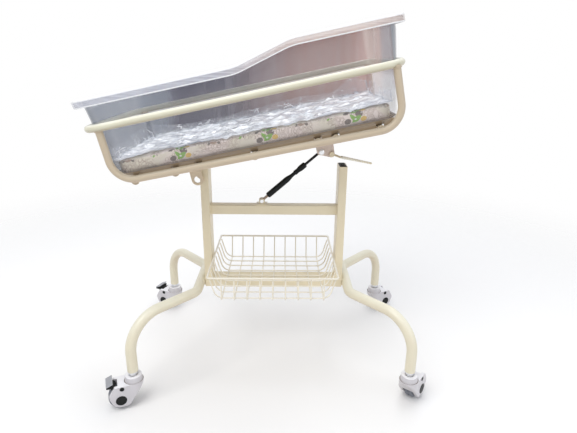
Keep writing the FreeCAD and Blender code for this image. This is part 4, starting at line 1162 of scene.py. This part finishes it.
@dataclass
class Tub(OnTray):
    """Clear moulded shell with a rolled rim that steps up towards the head."""

    middle: float = 170.5
    level: float = 171.5
    half_x: float = 394.5
    half_y: float = 193.0
    end_draft: float = 6.5
    side_draft: float = 2.2
    corner: float = 48.0
    floor: float = 30.3
    edge: float = 22.0
    rim_low: float = 245.5
    rim_high: float = 282.0
    rise: tuple[float, float] = (0.0, 137.0)
    ease: float = 130.0
    overhang: float = 25.0
    lip: float = 21.0
    sheet: float = 3.5
    rib_low: float = 21.0
    rib_gap: float = 10.3
    per_side: tuple[int, int, int] = (64, 26, 12)

    def rim_height(self, x: float) -> float:
        """Height of the rim's top, which steps up towards the head.

        Args:
            x: Place along the tub, from its middle.

        Returns:
            The height over the pivot.
        """
        start, end = self.rise
        slope = math.atan2(self.rim_high - self.rim_low, end - start)
        reach = self.ease * math.tan(slope / 2)
        if x < start - reach:
            return self.rim_low
        if x < start + reach * math.cos(slope):
            across = x - (start - reach)
            return self.rim_low + self.ease - math.sqrt(self.ease ** 2 - across ** 2)
        if x < end - reach * math.cos(slope):
            return self.rim_low + (x - start) * math.tan(slope)
        if x < end + reach:
            across = end + reach - x
            return self.rim_high - self.ease + math.sqrt(self.ease ** 2 - across ** 2)
        return self.rim_high

    def outline(self, half_x: float, half_y: float, corner: float) -> list[Vector]:
        """Points round a rounded rectangle, always the same number in the same order.

        Args:
            half_x: Half its length.
            half_y: Half its width.
            corner: Radius of its corners.

        Returns:
            The points, from the head's rear corner round by the foot.
        """
        long_count, short_count, corner_count = self.per_side
        points = []
        quarters = (((1, 1), 0.0), ((-1, 1), 90.0), ((-1, -1), 180.0), ((1, -1), 270.0))
        for number, ((i, j), start) in enumerate(quarters):
            centre = Vector((i * (half_x - corner), j * (half_y - corner), 0.0))
            for step in range(corner_count + 1):
                angle = math.radians(start + 90.0 * step / corner_count)
                points.append(centre + Vector((math.cos(angle), math.sin(angle), 0.0)) * corner)
            (k, m), ahead = quarters[(number + 1) % 4]
            target = Vector((k * (half_x - corner), m * (half_y - corner), 0.0)) + Vector(
                (math.cos(math.radians(ahead)), math.sin(math.radians(ahead)), 0.0)) * corner
            count = long_count if number % 2 == 0 else short_count
            last = points[-1]
            points += [last.lerp(target, n / count) for n in range(1, count)]
        return points

    def section(self) -> list[tuple[float, float, float, float, tuple[float, float]]]:
        """The shell's section, from the floor to the lip.

        Returns:
            Outward offset, height at the floor, share of the rim's line, drop below the rim, and how much of
            the row is rolled rim, which takes painted reflection tints, and moulded edge, which takes a
            painted highlight.
        """
        rows = []
        start = self.floor + self.edge
        for step in range(7):
            angle = math.radians(90.0 * step / 6)
            rows.append((-self.edge * (1 - math.sin(angle)), start - self.edge * math.cos(angle), 0.0, 0.0,
                         (0.0, 0.0)))
        for share in (0.12, 0.3, 0.5, 0.7, 0.9):
            rows.append((0.0, start, share, 9.0, (0.0, 0.0)))
        rows.append((0.0, start, 1.0, 9.0, (0.0, 0.0)))
        for step in range(5):
            angle = math.radians(90.0 * step / 4)
            rows.append((4.0 * (1 - math.cos(angle)), 0.0, 1.0, 4.3 - 4.1 * math.sin(angle),
                         (0.4 + 0.15 * step, 0.2 * step)))
        rows.append((8.0, 0.0, 1.0, 0.2, (1.0, 0.35)))
        rows.append((self.overhang - 5.0, 0.0, 1.0, 0.2, (1.0, 0.6)))
        for step in range(4):
            angle = math.radians(90.0 * step / 3)
            rows.append((self.overhang - 2.8 + 2.5 * math.sin(angle), 0.0, 1.0,
                         0.2 + 2.5 * (1 - math.cos(angle)), (1.0, 1.0)))
        for drop, edge in ((4.6, 0.9), (6.2, 0.0), (self.lip - 3.8, 0.0), (self.lip - 2.6, 1.0),
                           (self.lip - 0.3, 1.0)):
            rows.append((self.overhang - 0.3, 0.0, 1.0, drop, (1.0, edge)))
        return rows

    def build(self) -> None:
        """Makes the pieces."""
        bm = bmesh.new()
        # per-vertex shares of the rim's painted reflection tint and the edges' painted highlight
        layers = [bm.verts.layers.float.new(name) for name in ("rim", "edge")]
        ring: list[BMEdge] = []
        verts: list[BMVert] = []
        for number, (offset, base, share, drop, shares) in enumerate(self.section()):
            if number == 0:
                verts = [bm.verts.new() for _ in self.outline(100, 100, 10)]
                ring = [bm.edges.new(pair) for pair in zip(verts, verts[1:] + verts[:1])]
                bmesh.ops.edgeloop_fill(bm, edges=ring)
            else:
                grown = bmesh.ops.extrude_edge_only(bm, edges=ring)["geom"]
                ring = [g for g in grown if isinstance(g, BMEdge)]
                old = set(verts)
                follow = {link.other_vert(new): new for new in grown if isinstance(new, BMVert)
                          for link in new.link_edges if link.other_vert(new) in old}
                verts = [follow[vert] for vert in verts]
            self.lay_row(verts, offset, base, share, drop)
            for vert in verts:
                for layer, part in zip(layers, shares):
                    vert[layer] = part
        bmesh.ops.triangulate(bm, faces=[f for f in bm.faces if len(f.verts) > 4])
        bmesh.ops.translate(bm, vec=(self.middle, 0, 0), verts=bm.verts)
        tub = self.put("clear_tub", bm, Slot.TUB, "tub", ["tub"], angle=60.0)
        wall = tub.modifiers.new("wall", "SOLIDIFY")
        wall.thickness = self.sheet * MM
        wall.offset = -1.0
        self.foot_ribs()

    def foot_ribs(self) -> None:
        """Low ribs under the floor's long edges, with gaps for the cross tubes."""
        stops = (*Tray.cross_places, self.middle + self.half_x - 20.0 + self.rib_gap)
        bm = bmesh.new()
        for start, end in zip(stops, stops[1:]):
            for side in (-1, 1):
                size = (end - start - 2 * self.rib_gap, 6.0, self.floor + 11.0 - self.rib_low)
                middle = ((start + end) / 2, side * (self.half_y - 11.0), self.rib_low + size[2] / 2)
                block(bm, size, Matrix.Translation(middle))
        rounded(bm, bm.edges, 1.2)
        self.put("tub_foot_ribs", bm, Slot.TUB, "tub", angle=50.0)

    def lay_row(self, verts: Sequence[BMVert], offset: float, base: float, share: float,
                drop: float) -> None:
        """Moves one row of the shell to its place.

        Args:
            verts: The row's vertices in order.
            offset: Distance outside the wall's outer face.
            base: Height where it doesn't follow the rim.
            share: Share of the way up to the rim's line.
            drop: Distance below the rim's line.
        """
        flat = self.outline(self.half_x, self.half_y, self.corner)
        corner = max(self.corner + offset * (0.5 if offset > 0 else 1.0), 6.0)
        plans: dict[float, list[Vector]] = {}
        for number, (vert, spot) in enumerate(zip(verts, flat)):
            height = base + share * (self.rim_height(spot.x) - drop - base)
            rise = round(min(height - self.level, self.rim_low - self.level), 1)
            if rise not in plans:
                plans[rise] = self.outline(self.half_x + rise * math.tan(math.radians(self.end_draft))
                                           + offset, self.half_y + offset
                                           + rise * math.tan(math.radians(self.side_draft)), corner)
            vert.co = Vector((plans[rise][number].x, plans[rise][number].y, height))


# ------------------------------------------------------------------ bedding

@dataclass
class Bedding(OnTray):
    """Padded mattress and the crumpled clear film over it."""

    middle: float = 170.5
    half_x: float = 373.0
    half_y: float = 181.5
    base: float = 34.6
    top: float = 76.6
    corner: float = 42.0
    end_draft: float = 6.5
    upper_edge: float = 4.5
    lower_edge: float = 17.0
    print_drop: float = 16.5
    puff_cap: float = 5.0
    film_cell: float = 40.0
    film_rise: float = 46.0
    film_inset: float = 3.0
    film_lift: float = 0.9
    peaks: tuple[tuple[float, float, float], ...] = ((1.0, 325.0, 38.0), (0.55, 120.0, 70.0))
    side_row: float = 0.275

    def pad(self) -> None:
        """Pillow block with eased edges, puffed by a cloth simulation."""
        bm = bmesh.new()
        size = (2 * self.half_x - 4, 2 * self.half_y - 4, self.top - self.base - 3)
        block(bm, size, Matrix.Translation((self.middle, 0, (self.top + self.base) / 2)))
        upright = [e for e in bm.edges if abs(e.verts[0].co.z - e.verts[1].co.z) > 1]
        rounded(bm, upright, self.corner, 6)
        for side, width in ((1, self.upper_edge), (-1, self.lower_edge)):
            level = [e for e in bm.edges if abs(e.verts[0].co.z - e.verts[1].co.z) < 1
                     and (e.verts[0].co.z * 2 - self.top - self.base) * side > 20
                     and len(e.link_faces) == 2 and e.calc_face_angle() > 1.0]
            rounded(bm, level, width, 4)
        pad = self.put("mattress_pad", bm, Slot.PAD, "bedding", ["mattress"], angle=180.0)
        self.remesh(pad)
        self.puff(pad)
        self.shape_pad(pad)

    def remesh(self, pad: bpy.types.Object) -> None:
        """Gives the pad an even mesh.

        Args:
            pad: The pad.
        """
        pad.data.remesh_voxel_size = 0.007
        bpy.context.view_layer.objects.active = pad
        with bpy.context.temp_override(active_object=pad, object=pad, selected_objects=[pad]):
            bpy.ops.object.voxel_remesh()

    def puff(self, pad: bpy.types.Object) -> None:
        """Swells the pad by cloth pressure, with a cap on how far a point moves.

        Args:
            pad: The pad.
        """
        before = [v.co.copy() for v in pad.data.vertices]
        cloth = pad.modifiers.new("puff", "CLOTH")
        cloth.settings.use_pressure = True
        cloth.settings.uniform_pressure_force = 3.0
        cloth.settings.effector_weights.gravity = 0.0
        cloth.settings.quality = 5
        for number in range(1, 15):
            bpy.context.scene.frame_set(number)
        shape = pad.evaluated_get(bpy.context.evaluated_depsgraph_get()).data
        after = [v.co.copy() for v in shape.vertices]
        pad.modifiers.clear()
        cap = self.puff_cap * MM
        for vert, old, new in zip(pad.data.vertices, before, after):
            move = new - old
            vert.co = old + (move if move.length < cap else move.normalized() * cap)
        bpy.context.scene.frame_set(1)

    def shape_pad(self, pad: bpy.types.Object) -> None:
        """Puckers the pad, keeps it in its room, and lays the cloth's map on it.

        Args:
            pad: The pad.
        """
        matrix = Matrix.Scale(MM, 4) @ self.place
        back = matrix.inverted()
        bm = bmesh.new()
        bm.from_mesh(pad.data)
        bmesh.ops.transform(bm, matrix=back, verts=bm.verts)
        for vert in bm.verts:
            spot = vert.co
            ripple = noise.fractal(spot * 0.021, 1.0, 2.0, 4) * 1.6
            spot.z += ripple if spot.z > self.base + 12 else 0.0
            if abs(spot.y) > self.half_y - 14:
                spot.y += math.copysign(noise.noise(Vector((spot.x * 0.03, 0, spot.z * 0.05))) * 1.6, spot.y)
            spot.z = min(max(spot.z, self.base), self.top + 0.1)
            lean = (spot.z - self.base) * math.tan(math.radians(self.end_draft))
            limit_x, limit_y = self.half_x + lean, self.half_y + lean * 0.3
            spot.x = self.middle + min(max(spot.x - self.middle, -limit_x), limit_x)
            spot.y = min(max(spot.y, -limit_y), limit_y)
        bmesh.ops.smooth_vert(bm, verts=bm.verts, factor=0.4, use_axis_x=True, use_axis_y=True,
                              use_axis_z=True)
        layer = bm.loops.layers.uv.new("cloth")
        middle = (self.top - self.print_drop) * MM
        for face in bm.faces:
            normal = face.normal
            for loop in face.loops:
                spot = loop.vert.co * MM
                if normal.z > 0.75:
                    loop[layer].uv = (spot.x, spot.y)
                else:
                    along = spot.x if abs(normal.y) > abs(normal.x) else spot.y
                    loop[layer].uv = (along, spot.z - middle + self.side_row)
        bmesh.ops.transform(bm, matrix=matrix, verts=bm.verts)
        bm.to_mesh(pad.data)
        bm.free()
        smoothed(pad.data, 80.0)

    def crumpled(self) -> BMesh:
        """Flat film, broken into facets of three sizes with random heights.

        Returns:
            A grid whose heights are the crumples alone.
        """
        bm = bmesh.new()
        half_x, half_y = self.half_x + self.film_rise, self.half_y + self.film_rise
        bmesh.ops.create_grid(bm, x_segments=round(2 * half_x / self.film_cell),
                              y_segments=round(2 * half_y / self.film_cell), size=1.0,
                              matrix=Matrix.Diagonal((half_x, half_y, 1.0, 1.0)))
        dice = random.Random(11)
        for vert in bm.verts:
            free = 0.0 if vert.is_boundary else 0.36
            vert.co += Vector((dice.uniform(-1, 1) * free, dice.uniform(-1, 1) * free, 0)) * self.film_cell
            vert.co.z = dice.uniform(0.0, 1.0) ** 1.6 * self.film_cell * 0.20
        bmesh.ops.triangulate(bm, faces=bm.faces, quad_method="BEAUTY")
        for share in (0.075, 0.06):
            old = set(bm.verts)
            bmesh.ops.subdivide_edges(bm, edges=bm.edges, cuts=1, use_grid_fill=True)
            for vert in bm.verts:
                if vert not in old:
                    vert.co.z += dice.uniform(-1.0, 1.0) * self.film_cell * share
        return bm

    def film(self) -> None:
        """Crumpled film: a creased sheet on the pad that stands up against the tub's walls."""
        bm = self.crumpled()
        layer = bm.verts.layers.float.new("layers")
        crease = bm.verts.layers.float.new("crease")
        for vert in bm.verts:
            self.drape(vert, layer)
        # crease weight: where the film's material paints highlights along sharp bends
        for vert in bm.verts:
            bend = max((e.calc_face_angle(0.0) for e in vert.link_edges), default=0.0)
            vert[crease] = min(max((bend - 0.35) / 0.6, 0.0), 1.0)
        bmesh.ops.translate(bm, vec=(self.middle, 0, 0), verts=bm.verts)
        film = self.put("crumpled_film", bm, Slot.FILM, "bedding", ["clear_cover"], angle=24.0)

    def drape(self, vert: BMVert, layer: Any) -> None:
        """Folds one vertex of the flat film up the walls.

        Args:
            vert: The vertex, at its flat place, with its crumple as its height.
            layer: Takes how much the film doubles up here.
        """
        x, y, crumple = vert.co
        end_x, end_y = self.half_x - self.film_inset, self.half_y - self.film_inset
        over_x, over_y = max(abs(x) - end_x, 0.0), max(abs(y) - end_y, 0.0)
        up = max(over_x, over_y)
        flat_x, flat_y = math.copysign(min(abs(x), end_x), x), math.copysign(min(abs(y), end_y), y)
        up *= self.wall_height(flat_x, y) / self.film_rise
        ridge = 1.0 - abs(noise.noise(Vector((flat_x * 0.011 + flat_y * 0.008, flat_y * 0.034, 1.0)))) * 2.2
        crumple += max(ridge, 0.0) ** 3 * 3.6
        if up < 1.0:
            vert.co = Vector((flat_x, flat_y, self.top + self.film_lift + crumple))
        else:
            vert.co = Vector((flat_x, flat_y, self.top + self.film_lift + crumple * 0.4 + up))
            if over_x >= over_y:
                vert.co.x -= math.copysign(crumple * 1.1 - up * 0.11, x)
            else:
                vert.co.y -= math.copysign(crumple * (1.1 if y > 0 else 0.5), y)
        vert[layer] = 1.0 if up < 3.0 else max(0.0, 0.5 - up / 45.0)

    def wall_height(self, x: float, y: float) -> float:
        """How high the film stands against the wall.

        Args:
            x: Place along the tub, from its middle.
            y: Place across it; the near wall is below 0.

        Returns:
            The height over the pad.
        """
        end = self.near_end(x)
        if y < 0:
            return 3.0 + 26.0 * end
        wander = 0.5 + 0.5 * noise.noise(Vector((x * 0.013, 4.0, 0.0)))
        peak = sum(share * math.exp(-((x - at) / spread) ** 2) for share, at, spread in self.peaks)
        return min(12.0 + 20.0 * wander + 14.0 * end + 22.0 * peak, self.film_rise + 6.0)

    def near_end(self, x: float) -> float:
        """1 at the ends of the tub and 0 further in."""
        return min(max((abs(x) - 250.0) / 90.0, 0.0), 1.0)

    def build(self) -> None:
        """Makes the pieces."""
        self.pad()
        self.film()


# ------------------------------------------------------------------ basket

@dataclass
class Basket(SubAssembly):
    """Welded wire basket on the lower beam."""

    rim_wire: float = 6.0
    wire: float = 4.0
    width: float = 342.0
    floor_front: float = 171.0
    floor_rear: float = 143.0
    floor_length: float = 332.0
    low: float = 275.3
    height: float = 70.0
    inner: float = 195.0
    side_gap: float = 2.0
    corner: float = 7.0
    pitch: float = 37.5
    count: int = 9
    bend: float = 6.0
    end_bend: float = 30.0

    def wires(self, name: str, lines: Sequence[Sequence[Sequence[float]]], bend: float, arc: float) -> None:
        """Bent wires of one direction.

        Args:
            name: Name of the piece, and of its node behind "basket_".
            lines: Corners of each wire.
            bend: Radius of their bends.
            arc: Degrees of bend to a step.
        """
        bm = bmesh.new()
        for line in lines:
            bar(bm, line, bend, self.wire, sides=10, arc=arc)
        self.put(name, bm, Slot.CREAM, "basket", ["basket_" + name], finish=LIT_WIRE_PAINT)

    def build(self) -> None:
        """Makes the pieces."""
        rim = self.low + self.height
        half_x = self.inner - self.side_gap - self.rim_wire / 2
        bm = bmesh.new()
        bar(bm, [(half_x * i, self.width / 2 * j, rim) for i, j in ((1, -1), (1, 1), (-1, 1), (-1, -1))],
            self.corner, self.rim_wire, closed=True, sides=14, arc=15.0)
        self.put("wire_rim", bm, Slot.CREAM, "basket", ["basket_rim"], finish=LIT_WIRE_PAINT)
        top_y = self.width / 2 - (self.rim_wire + self.wire) / 2 - 0.05
        places = [(i - (self.count - 1) / 2) * self.pitch for i in range(self.count)]
        self.wires("wires_across", [[(x, -top_y, rim), (x, -self.floor_front, self.low),
                                     (x, self.floor_rear, self.low), (x, top_y, rim)] for x in places],
                   self.bend, 15.0)
        top_x = half_x - (self.rim_wire + self.wire) / 2 - 0.05
        middle = (self.floor_rear - self.floor_front) / 2
        step = (self.floor_rear + self.floor_front - 2 * self.bend) / (self.count - 1)
        rows = [middle + (i - (self.count - 1) / 2) * step for i in range(self.count)]
        half, floor = self.floor_length / 2, self.low + self.wire
        self.wires("wires_along", [[(-top_x, y, rim), (-half, y, floor), (half, y, floor), (top_x, y, rim)]
                                   for y in rows], self.end_bend, 10.0)
        bm = bmesh.new()
        for x in places:
            for y in rows:
                if abs(x) < self.floor_length / 2 - 14:
                    bmesh.ops.create_icosphere(bm, subdivisions=1, radius=2.3, matrix=Matrix.Translation(
                        (x, y, self.low + self.wire / 2)) @ Matrix.Diagonal((1.0, 1.0, 0.7, 1.0)))
        self.put("wire_welds", bm, Slot.CREAM, "basket", angle=80.0, finish=LIT_WIRE_PAINT)


# ------------------------------------------------------------------ casters

@dataclass
class Caster(SubAssembly):
    """One hooded twin-cheek caster, drawn with its stem on Z and its trail along +X.

    Attributes:
        corner: Which corner of the base it is at.
        side: Signs of its corner along and across the base.
        heading: Direction of its trail, in degrees.
        braked: Whether it has a pedal.
    """

    corner: str = ""
    side: tuple[int, int] = (1, 1)
    heading: float = 0.0
    braked: bool = False
    stem_at: tuple[float, float] = (394.0, 270.0)
    trail: float = 39.2
    radius: float = 33.5
    half: float = 27.0
    cap: float = 15.0
    button_at: tuple[float, float] = (34.6, 70.0)
    button: float = 6.2
    collar_groove: tuple[float, float, float] = (25.05, 26.7, 76.3)
    pedal_at: tuple[float, float] = (53.0, 70.0)
    pedal_reach: float = 22.0
    pedal_width: float = 44.0
    stem_profile: tuple[tuple[float, float], ...] = (
        (0.0, 56.0), (5.6, 56.0), (6.0, 56.6), (6.0, 89.6), (10.6, 89.6), (10.9, 90.2), (10.9, 96.4),
        (9.9, 97.0), (9.9, 98.6), (10.9, 99.2), (10.9, 104.9), (10.4, 105.5), (8.0, 105.7), (8.0, 120.0),
        (0.0, 120.0))

    def __post_init__(self) -> None:
        """Finds its place from its corner and heading."""
        stand = Matrix.Translation((self.side[0] * self.stem_at[0], self.side[1] * self.stem_at[1], 0.0))
        self.place = BASE_PLACE @ stand @ Matrix.Rotation(math.radians(self.heading), 4, "Z")

    def stem(self) -> None:
        """Plated stem with a ring groove."""
        bm = bmesh.new()
        turned(bm, self.stem_profile, Matrix.Identity(4), 40)
        self.put("stem_" + self.corner, bm, Slot.ZINC, "base", ["caster_stem_" + self.corner])

    def groove(self) -> None:
        """Dark ring in the bottom of the groove round the collar: painted shade."""
        inside, outside, level = self.collar_groove
        bm = bmesh.new()
        turned(bm, [(inside, level), (outside, level), (outside, level + 0.3), (inside, level + 0.3),
                    (inside, level)], Matrix.Identity(4), 40)
        self.put("collar_groove_" + self.corner, bm, Slot.SHELL, "caster_" + self.corner, finish=GROOVE_SHADE)

    def caps(self) -> None:
        """Axle with its domed caps, and the small button above each."""
        bm = bmesh.new()
        for way in (-1, 1):
            outward = Matrix.Rotation(math.radians(-90.0 * way), 4, "X")
            for (x, z), size, rise in (((self.trail, self.radius), self.cap, 1.15),
                                       (self.button_at, self.button, 1.15)):
                place = Matrix.Translation((x, way * self.half, z)) @ outward
                turned(bm, [(0.0, -4.0), (size - 1.2, -4.0), (size, -3.0), (size, rise - 0.6),
                            (size - 0.5, rise - 0.12), (size - 1.4, rise), (size * 0.6, rise - 0.25),
                            (0.0, rise - 0.3)], place, 40)
        bar(bm, [(self.trail, -self.half + 3.0, self.radius), (self.trail, self.half - 3.0, self.radius)],
            0.0, 10.0, sides=20)
        self.put("hub_caps_" + self.corner, bm, Slot.PLUG, "caster_" + self.corner,
                 ["caster_axle_" + self.corner])

    def wheel(self) -> None:
        """Grooved tread on a dished core."""
        bm = bmesh.new()
        place = Matrix.Translation((self.trail, 0.0, self.radius)) @ Matrix.Rotation(math.pi / 2, 4, "X")
        right = [(5.2, 14.0), (10.5, 14.0), (11.0, 13.4), (11.4, 11.2), (24.0, 11.2), (25.0, 13.0),
                 (29.0, 13.4), (31.6, 12.2), (33.0, 9.6), (33.45, 6.0), (33.45, 1.6), (32.2, 1.0)]
        turned(bm, right + [(r, -z) for r, z in reversed(right)] + [right[0]], place, 48)
        self.put("tread_" + self.corner, bm, Slot.RUBBER, "wheel_" + self.corner,
                 ["caster_wheel_" + self.corner])

    def pedal(self) -> None:
        """Slanted ribbed tread plate on the brake pedal's dark arm."""
        x, z = self.pedal_at
        low = Vector((x + self.pedal_reach, 0.0, z + 11.5))
        run = Vector((x + 4.0, 0.0, z + 19.0)) - low
        turn = Matrix.Rotation(-math.atan2(run.z, run.x), 4, "Y")
        bm = bmesh.new()
        block(bm, (run.length, self.pedal_width, 3.0), Matrix.Translation(low + run / 2) @ turn)
        rounded(bm, bm.edges, 0.9)
        for i in range(6):
            spot = low + run * (i + 0.7) / 6.4 + turn @ Vector((0.0, 0.0, -1.6))
            bar(bm, [(spot.x, side * (self.pedal_width / 2 - 1.5), spot.z) for side in (-1, 1)], 0.0, 2.2,
                sides=10)
        self.put("pedal_plate_" + self.corner, bm, Slot.PEDAL, "pedal_" + self.corner)
        self.eased("brake_pedal_" + self.corner, Slot.PEDAL, 0.9, BLACK_PLASTIC)

    def build(self) -> None:
        """Makes the pieces."""
        self.stem()
        self.groove()
        self.caps()
        self.wheel()
        self.eased("caster_hood_" + self.corner, Slot.SHELL, 0.5)
        if self.braked:
            self.pedal()


# ------------------------------------------------------------------ gas spring and lever

@dataclass
class GasSpring(SubAssembly):
    """Barrel of the locking gas spring, drawn along +Z from its lower pin."""

    place: Matrix = field(default_factory=lambda: Matrix.Translation((-15.3, -2.6, 529.0)) @
                          Vector((0.753214, 0.0, 0.657775)).to_track_quat("Z", "Y").to_matrix().to_4x4())
    start: float = 24.0
    length: float = 152.0
    radius: float = 9.0

    def barrel(self) -> None:
        """Thick tube that necks to a waist and ends in the rod's guide sleeve."""
        end = self.start + self.length
        waist = self.radius * 0.62
        bm = bmesh.new()
        turned(bm, [(0.0, self.start), (3.6, self.start), (self.radius - 1.6, self.start + 0.4),
                    (self.radius - 0.3, self.start + 1.6), (self.radius - 0.05, self.start + 4.0),
                    (self.radius - 0.05, self.start + 78.0), (self.radius - 0.8, self.start + 84.0),
                    (waist, self.start + 98.0), (waist, self.start + 112.0),
                    (self.radius - 1.0, self.start + 128.0), (self.radius - 0.05, self.start + 131.0),
                    (self.radius - 0.05, end - 4.0), (self.radius - 1.4, end - 1.4),
                    (self.radius - 3.0, end - 0.3), (4.6, end), (4.2, end - 2.0), (0.0, end - 2.0)],
               Matrix.Identity(4), 36)
        self.put("spring_barrel", bm, Slot.SPRING, "spring_body", ["spring_cylinder"])

    def build(self) -> None:
        """Makes the pieces."""
        self.barrel()
        self.eased("spring_lower_eye", Slot.PLUG, 0.7, AGED_ZINC)
        self.eased("spring_upper_eye", Slot.PLUG, 0.7, AGED_ZINC)


@dataclass
class Lever(OnTray):
    """Release lever's grip of two strands wound round its rod, thinner towards the tip.

    Attributes:
        shaft: Place of its shaft on the tray.
        rod: Radius of the grip at its thick end.
        taper: Share of that radius that is left at the tip.
        pitch: Length of one turn of a strand.
    """

    shaft: tuple[float, float] = (377.0, -55.0)
    start: float = 24.0
    reach: float = 107.0
    fall: float = 46.0
    y: float = -36.0
    rod: float = 3.9
    taper: float = 0.62
    pitch: float = 15.0

    def build(self) -> None:
        """Makes the pieces."""
        x, z = self.shaft
        slope = self.fall / self.reach
        first = Vector((x + self.start, self.y, z - self.start * slope))
        last = Vector((x + self.reach, self.y, z - self.reach * slope))
        run = last - first
        place = facing(first, run)
        count = round(run.length / 0.7)
        runs: list[Run] = []
        for strand in range(2):
            spots, radii = [], []
            for i in range(count + 1):
                share = i / count
                turn = math.tau * share * run.length / self.pitch + math.pi * strand
                rod = self.rod * (1.0 + (self.taper - 1.0) * share)
                off = rod * 0.54
                spots.append(place @ Vector((math.cos(turn) * off, math.sin(turn) * off,
                                             share * run.length)))
                radii.append(rod * 0.72)
            runs.append((spots, radii, False))
        bm = bmesh.new()
        piped(bm, runs, 3)
        self.put("lever_grip", bm, Slot.CREAM, "lever", finish=CORD_GRIP)
        bm = bmesh.new()
        piped(bm, [([first, last], [self.rod * 0.84, self.rod * self.taper * 0.84], False)], 3)
        # the core's dark colour is painted shade between the strands
        self.put("lever_core", bm, Slot.ROD, "lever", finish=GROOVE_SHADE)
        self.eased("lever_nut", Slot.ZINC, 0.5)


# ------------------------------------------------------------------ studio

@dataclass
class Studio:
    """Pale floor, soft lamps and the camera."""

    focal: float = 464.68
    image_width: float = 577.0
    pitch: float = 18.82
    yaw: float = 0.91
    roll: float = -0.69
    stand: tuple[float, float, float] = (0.04584, -1.38359, 0.94767)

    def camera(self) -> None:
        """Camera at its measured place."""
        p, t, r = (math.radians(a) for a in (self.pitch, self.yaw, self.roll))
        ahead = Vector((math.sin(t) * math.cos(p), math.cos(t) * math.cos(p), -math.sin(p)))
        right = Vector((math.cos(t), -math.sin(t), 0.0))
        down = ahead.cross(right)
        side = right * math.cos(r) + down * math.sin(r)
        drop = down * math.cos(r) - right * math.sin(r)
        data = bpy.data.cameras.new("camera")
        data.lens = self.focal * 36.0 / self.image_width
        data.sensor_width = 36.0
        data.clip_start = 0.05
        camera = bpy.data.objects.new("camera", data)
        turn = Matrix((side, -drop, -ahead)).transposed().to_4x4()
        camera.matrix_world = Matrix.Translation(self.stand) @ turn
        bpy.context.collection.objects.link(camera)
        bpy.context.scene.camera = camera

    def lamp(self, name: str, spot: Sequence[float], aim: Sequence[float], size: float,
             power: float, tint: Colour = (1.0, 1.0, 1.0)) -> None:
        """Square soft lamp.

        Args:
            name: Name of the lamp.
            spot: Where it is.
            aim: What it points at.
            size: Its side, in metres.
            power: Its power in watts.
            tint: Its colour.
        """
        data = bpy.data.lights.new(name, "AREA")
        data.shape = "SQUARE"
        data.size = size
        data.energy = power
        data.color = tint
        lamp = bpy.data.objects.new(name, data)
        lamp.location = spot
        lamp.rotation_euler = (Vector(aim) - Vector(spot)).to_track_quat("-Z", "Y").to_euler()
        bpy.context.collection.objects.link(lamp)

    def world(self) -> None:
        """White seen by the camera and in reflections, softer as light."""
        mix = Recipe("studio", world=True)
        bpy.context.scene.world = mix.material
        seen, through, shiny = (mix.add("ShaderNodeLightPath", {}, {}, "Is %s Ray" % kind)
                                for kind in ("Camera", "Transmission", "Glossy"))
        soft = mix.add("ShaderNodeBackground", {}, {0: (0.93, 0.95, 1.0), 1: 0.55})
        white = mix.add("ShaderNodeBackground", {}, {0: (1.0, 1.0, 1.0), 1: 1.0})
        mix.finish(mix.add("ShaderNodeMixShader", {}, {0: seen.atleast(through).atleast(shiny), 1: soft,
                                                       2: white}), "ShaderNodeOutputWorld")

    def floor(self) -> None:
        """Round pale floor that fades into the white round it."""
        bm = bmesh.new()
        bmesh.ops.create_circle(bm, cap_ends=True, segments=96, radius=4.0)
        mesh = bpy.data.meshes.new("floor")
        bm.to_mesh(mesh)
        bm.free()
        mix = Recipe("PaleFloor")
        here = mix.place()
        length = mix.add("ShaderNodeVectorMath", {"operation": "LENGTH"}, {0: here}, "Value")
        fade = length.step(0.9, 2.6, 1.0, 0.0)
        clear = mix.add("ShaderNodeBsdfTransparent", {}, {})
        solid = mix.surface({"Base Color": (0.93, 0.93, 0.93), "Roughness": 0.9})
        mesh.materials.append(mix.finish(mix.add("ShaderNodeMixShader", {}, {0: fade, 1: clear, 2: solid})))
        floor = bpy.data.objects.new("floor", mesh)
        bpy.context.collection.objects.link(floor)

    def build(self) -> None:
        """Sets the stage."""
        self.camera()
        self.world()
        self.floor()
        self.lamp("key", (-1.1, -1.5, 3.1), (0.0, 0.0, 0.5), 2.2, 58.0, (1.0, 0.985, 0.96))
        self.lamp("fill", (2.2, -1.8, 1.3), (0.0, 0.0, 0.5), 2.0, 15.0, (0.97, 0.98, 1.0))
        self.lamp("top", (0.2, 0.9, 3.2), (0.0, 0.0, 0.4), 2.4, 40.0)
        bpy.context.scene.view_settings.view_transform = "Standard"


CASTERS: tuple[tuple[str, tuple[int, int], float, bool], ...] = (
    ("front_left", (-1, -1), 201.7, True), ("rear_left", (-1, 1), 156.4, True),
    ("front_right", (1, -1), 51.5, False), ("rear_right", (1, 1), 27.5, False))


def dress_frame() -> None:
    """Gives every CAD node the finish of its material slot."""
    finishes = {slot.label: slot.finish for slot in Slot}
    slots = {row["node"]: row["material_slot"] for row in frame["record"]["subparts"]}
    for name, node in frame["nodes"].items():
        finish = finishes[slots[name]]
        node.data.materials.clear()
        node.data.materials.append(finish.material())
        LOG.info("CAD node %s takes %s", name, finish.name)


def main() -> None:
    """Builds the whole scene."""
    logging.basicConfig(level=logging.INFO, format="%(message)s")
    bpy.context.scene.render.fps = 24
    dress_frame()
    groups: list[SubAssembly] = [Base(), Tray(), GasSpring(), Lever(), Tub(), Bedding(), Basket()]
    groups += [Caster(corner=corner, side=side, heading=heading, braked=braked)
               for corner, side, heading, braked in CASTERS]
    for group in groups:
        group.build()
        LOG.info("%s: %s", type(group).__name__, ", ".join(group.made))
    Studio().build()


if __name__ == "__main__":
    main()
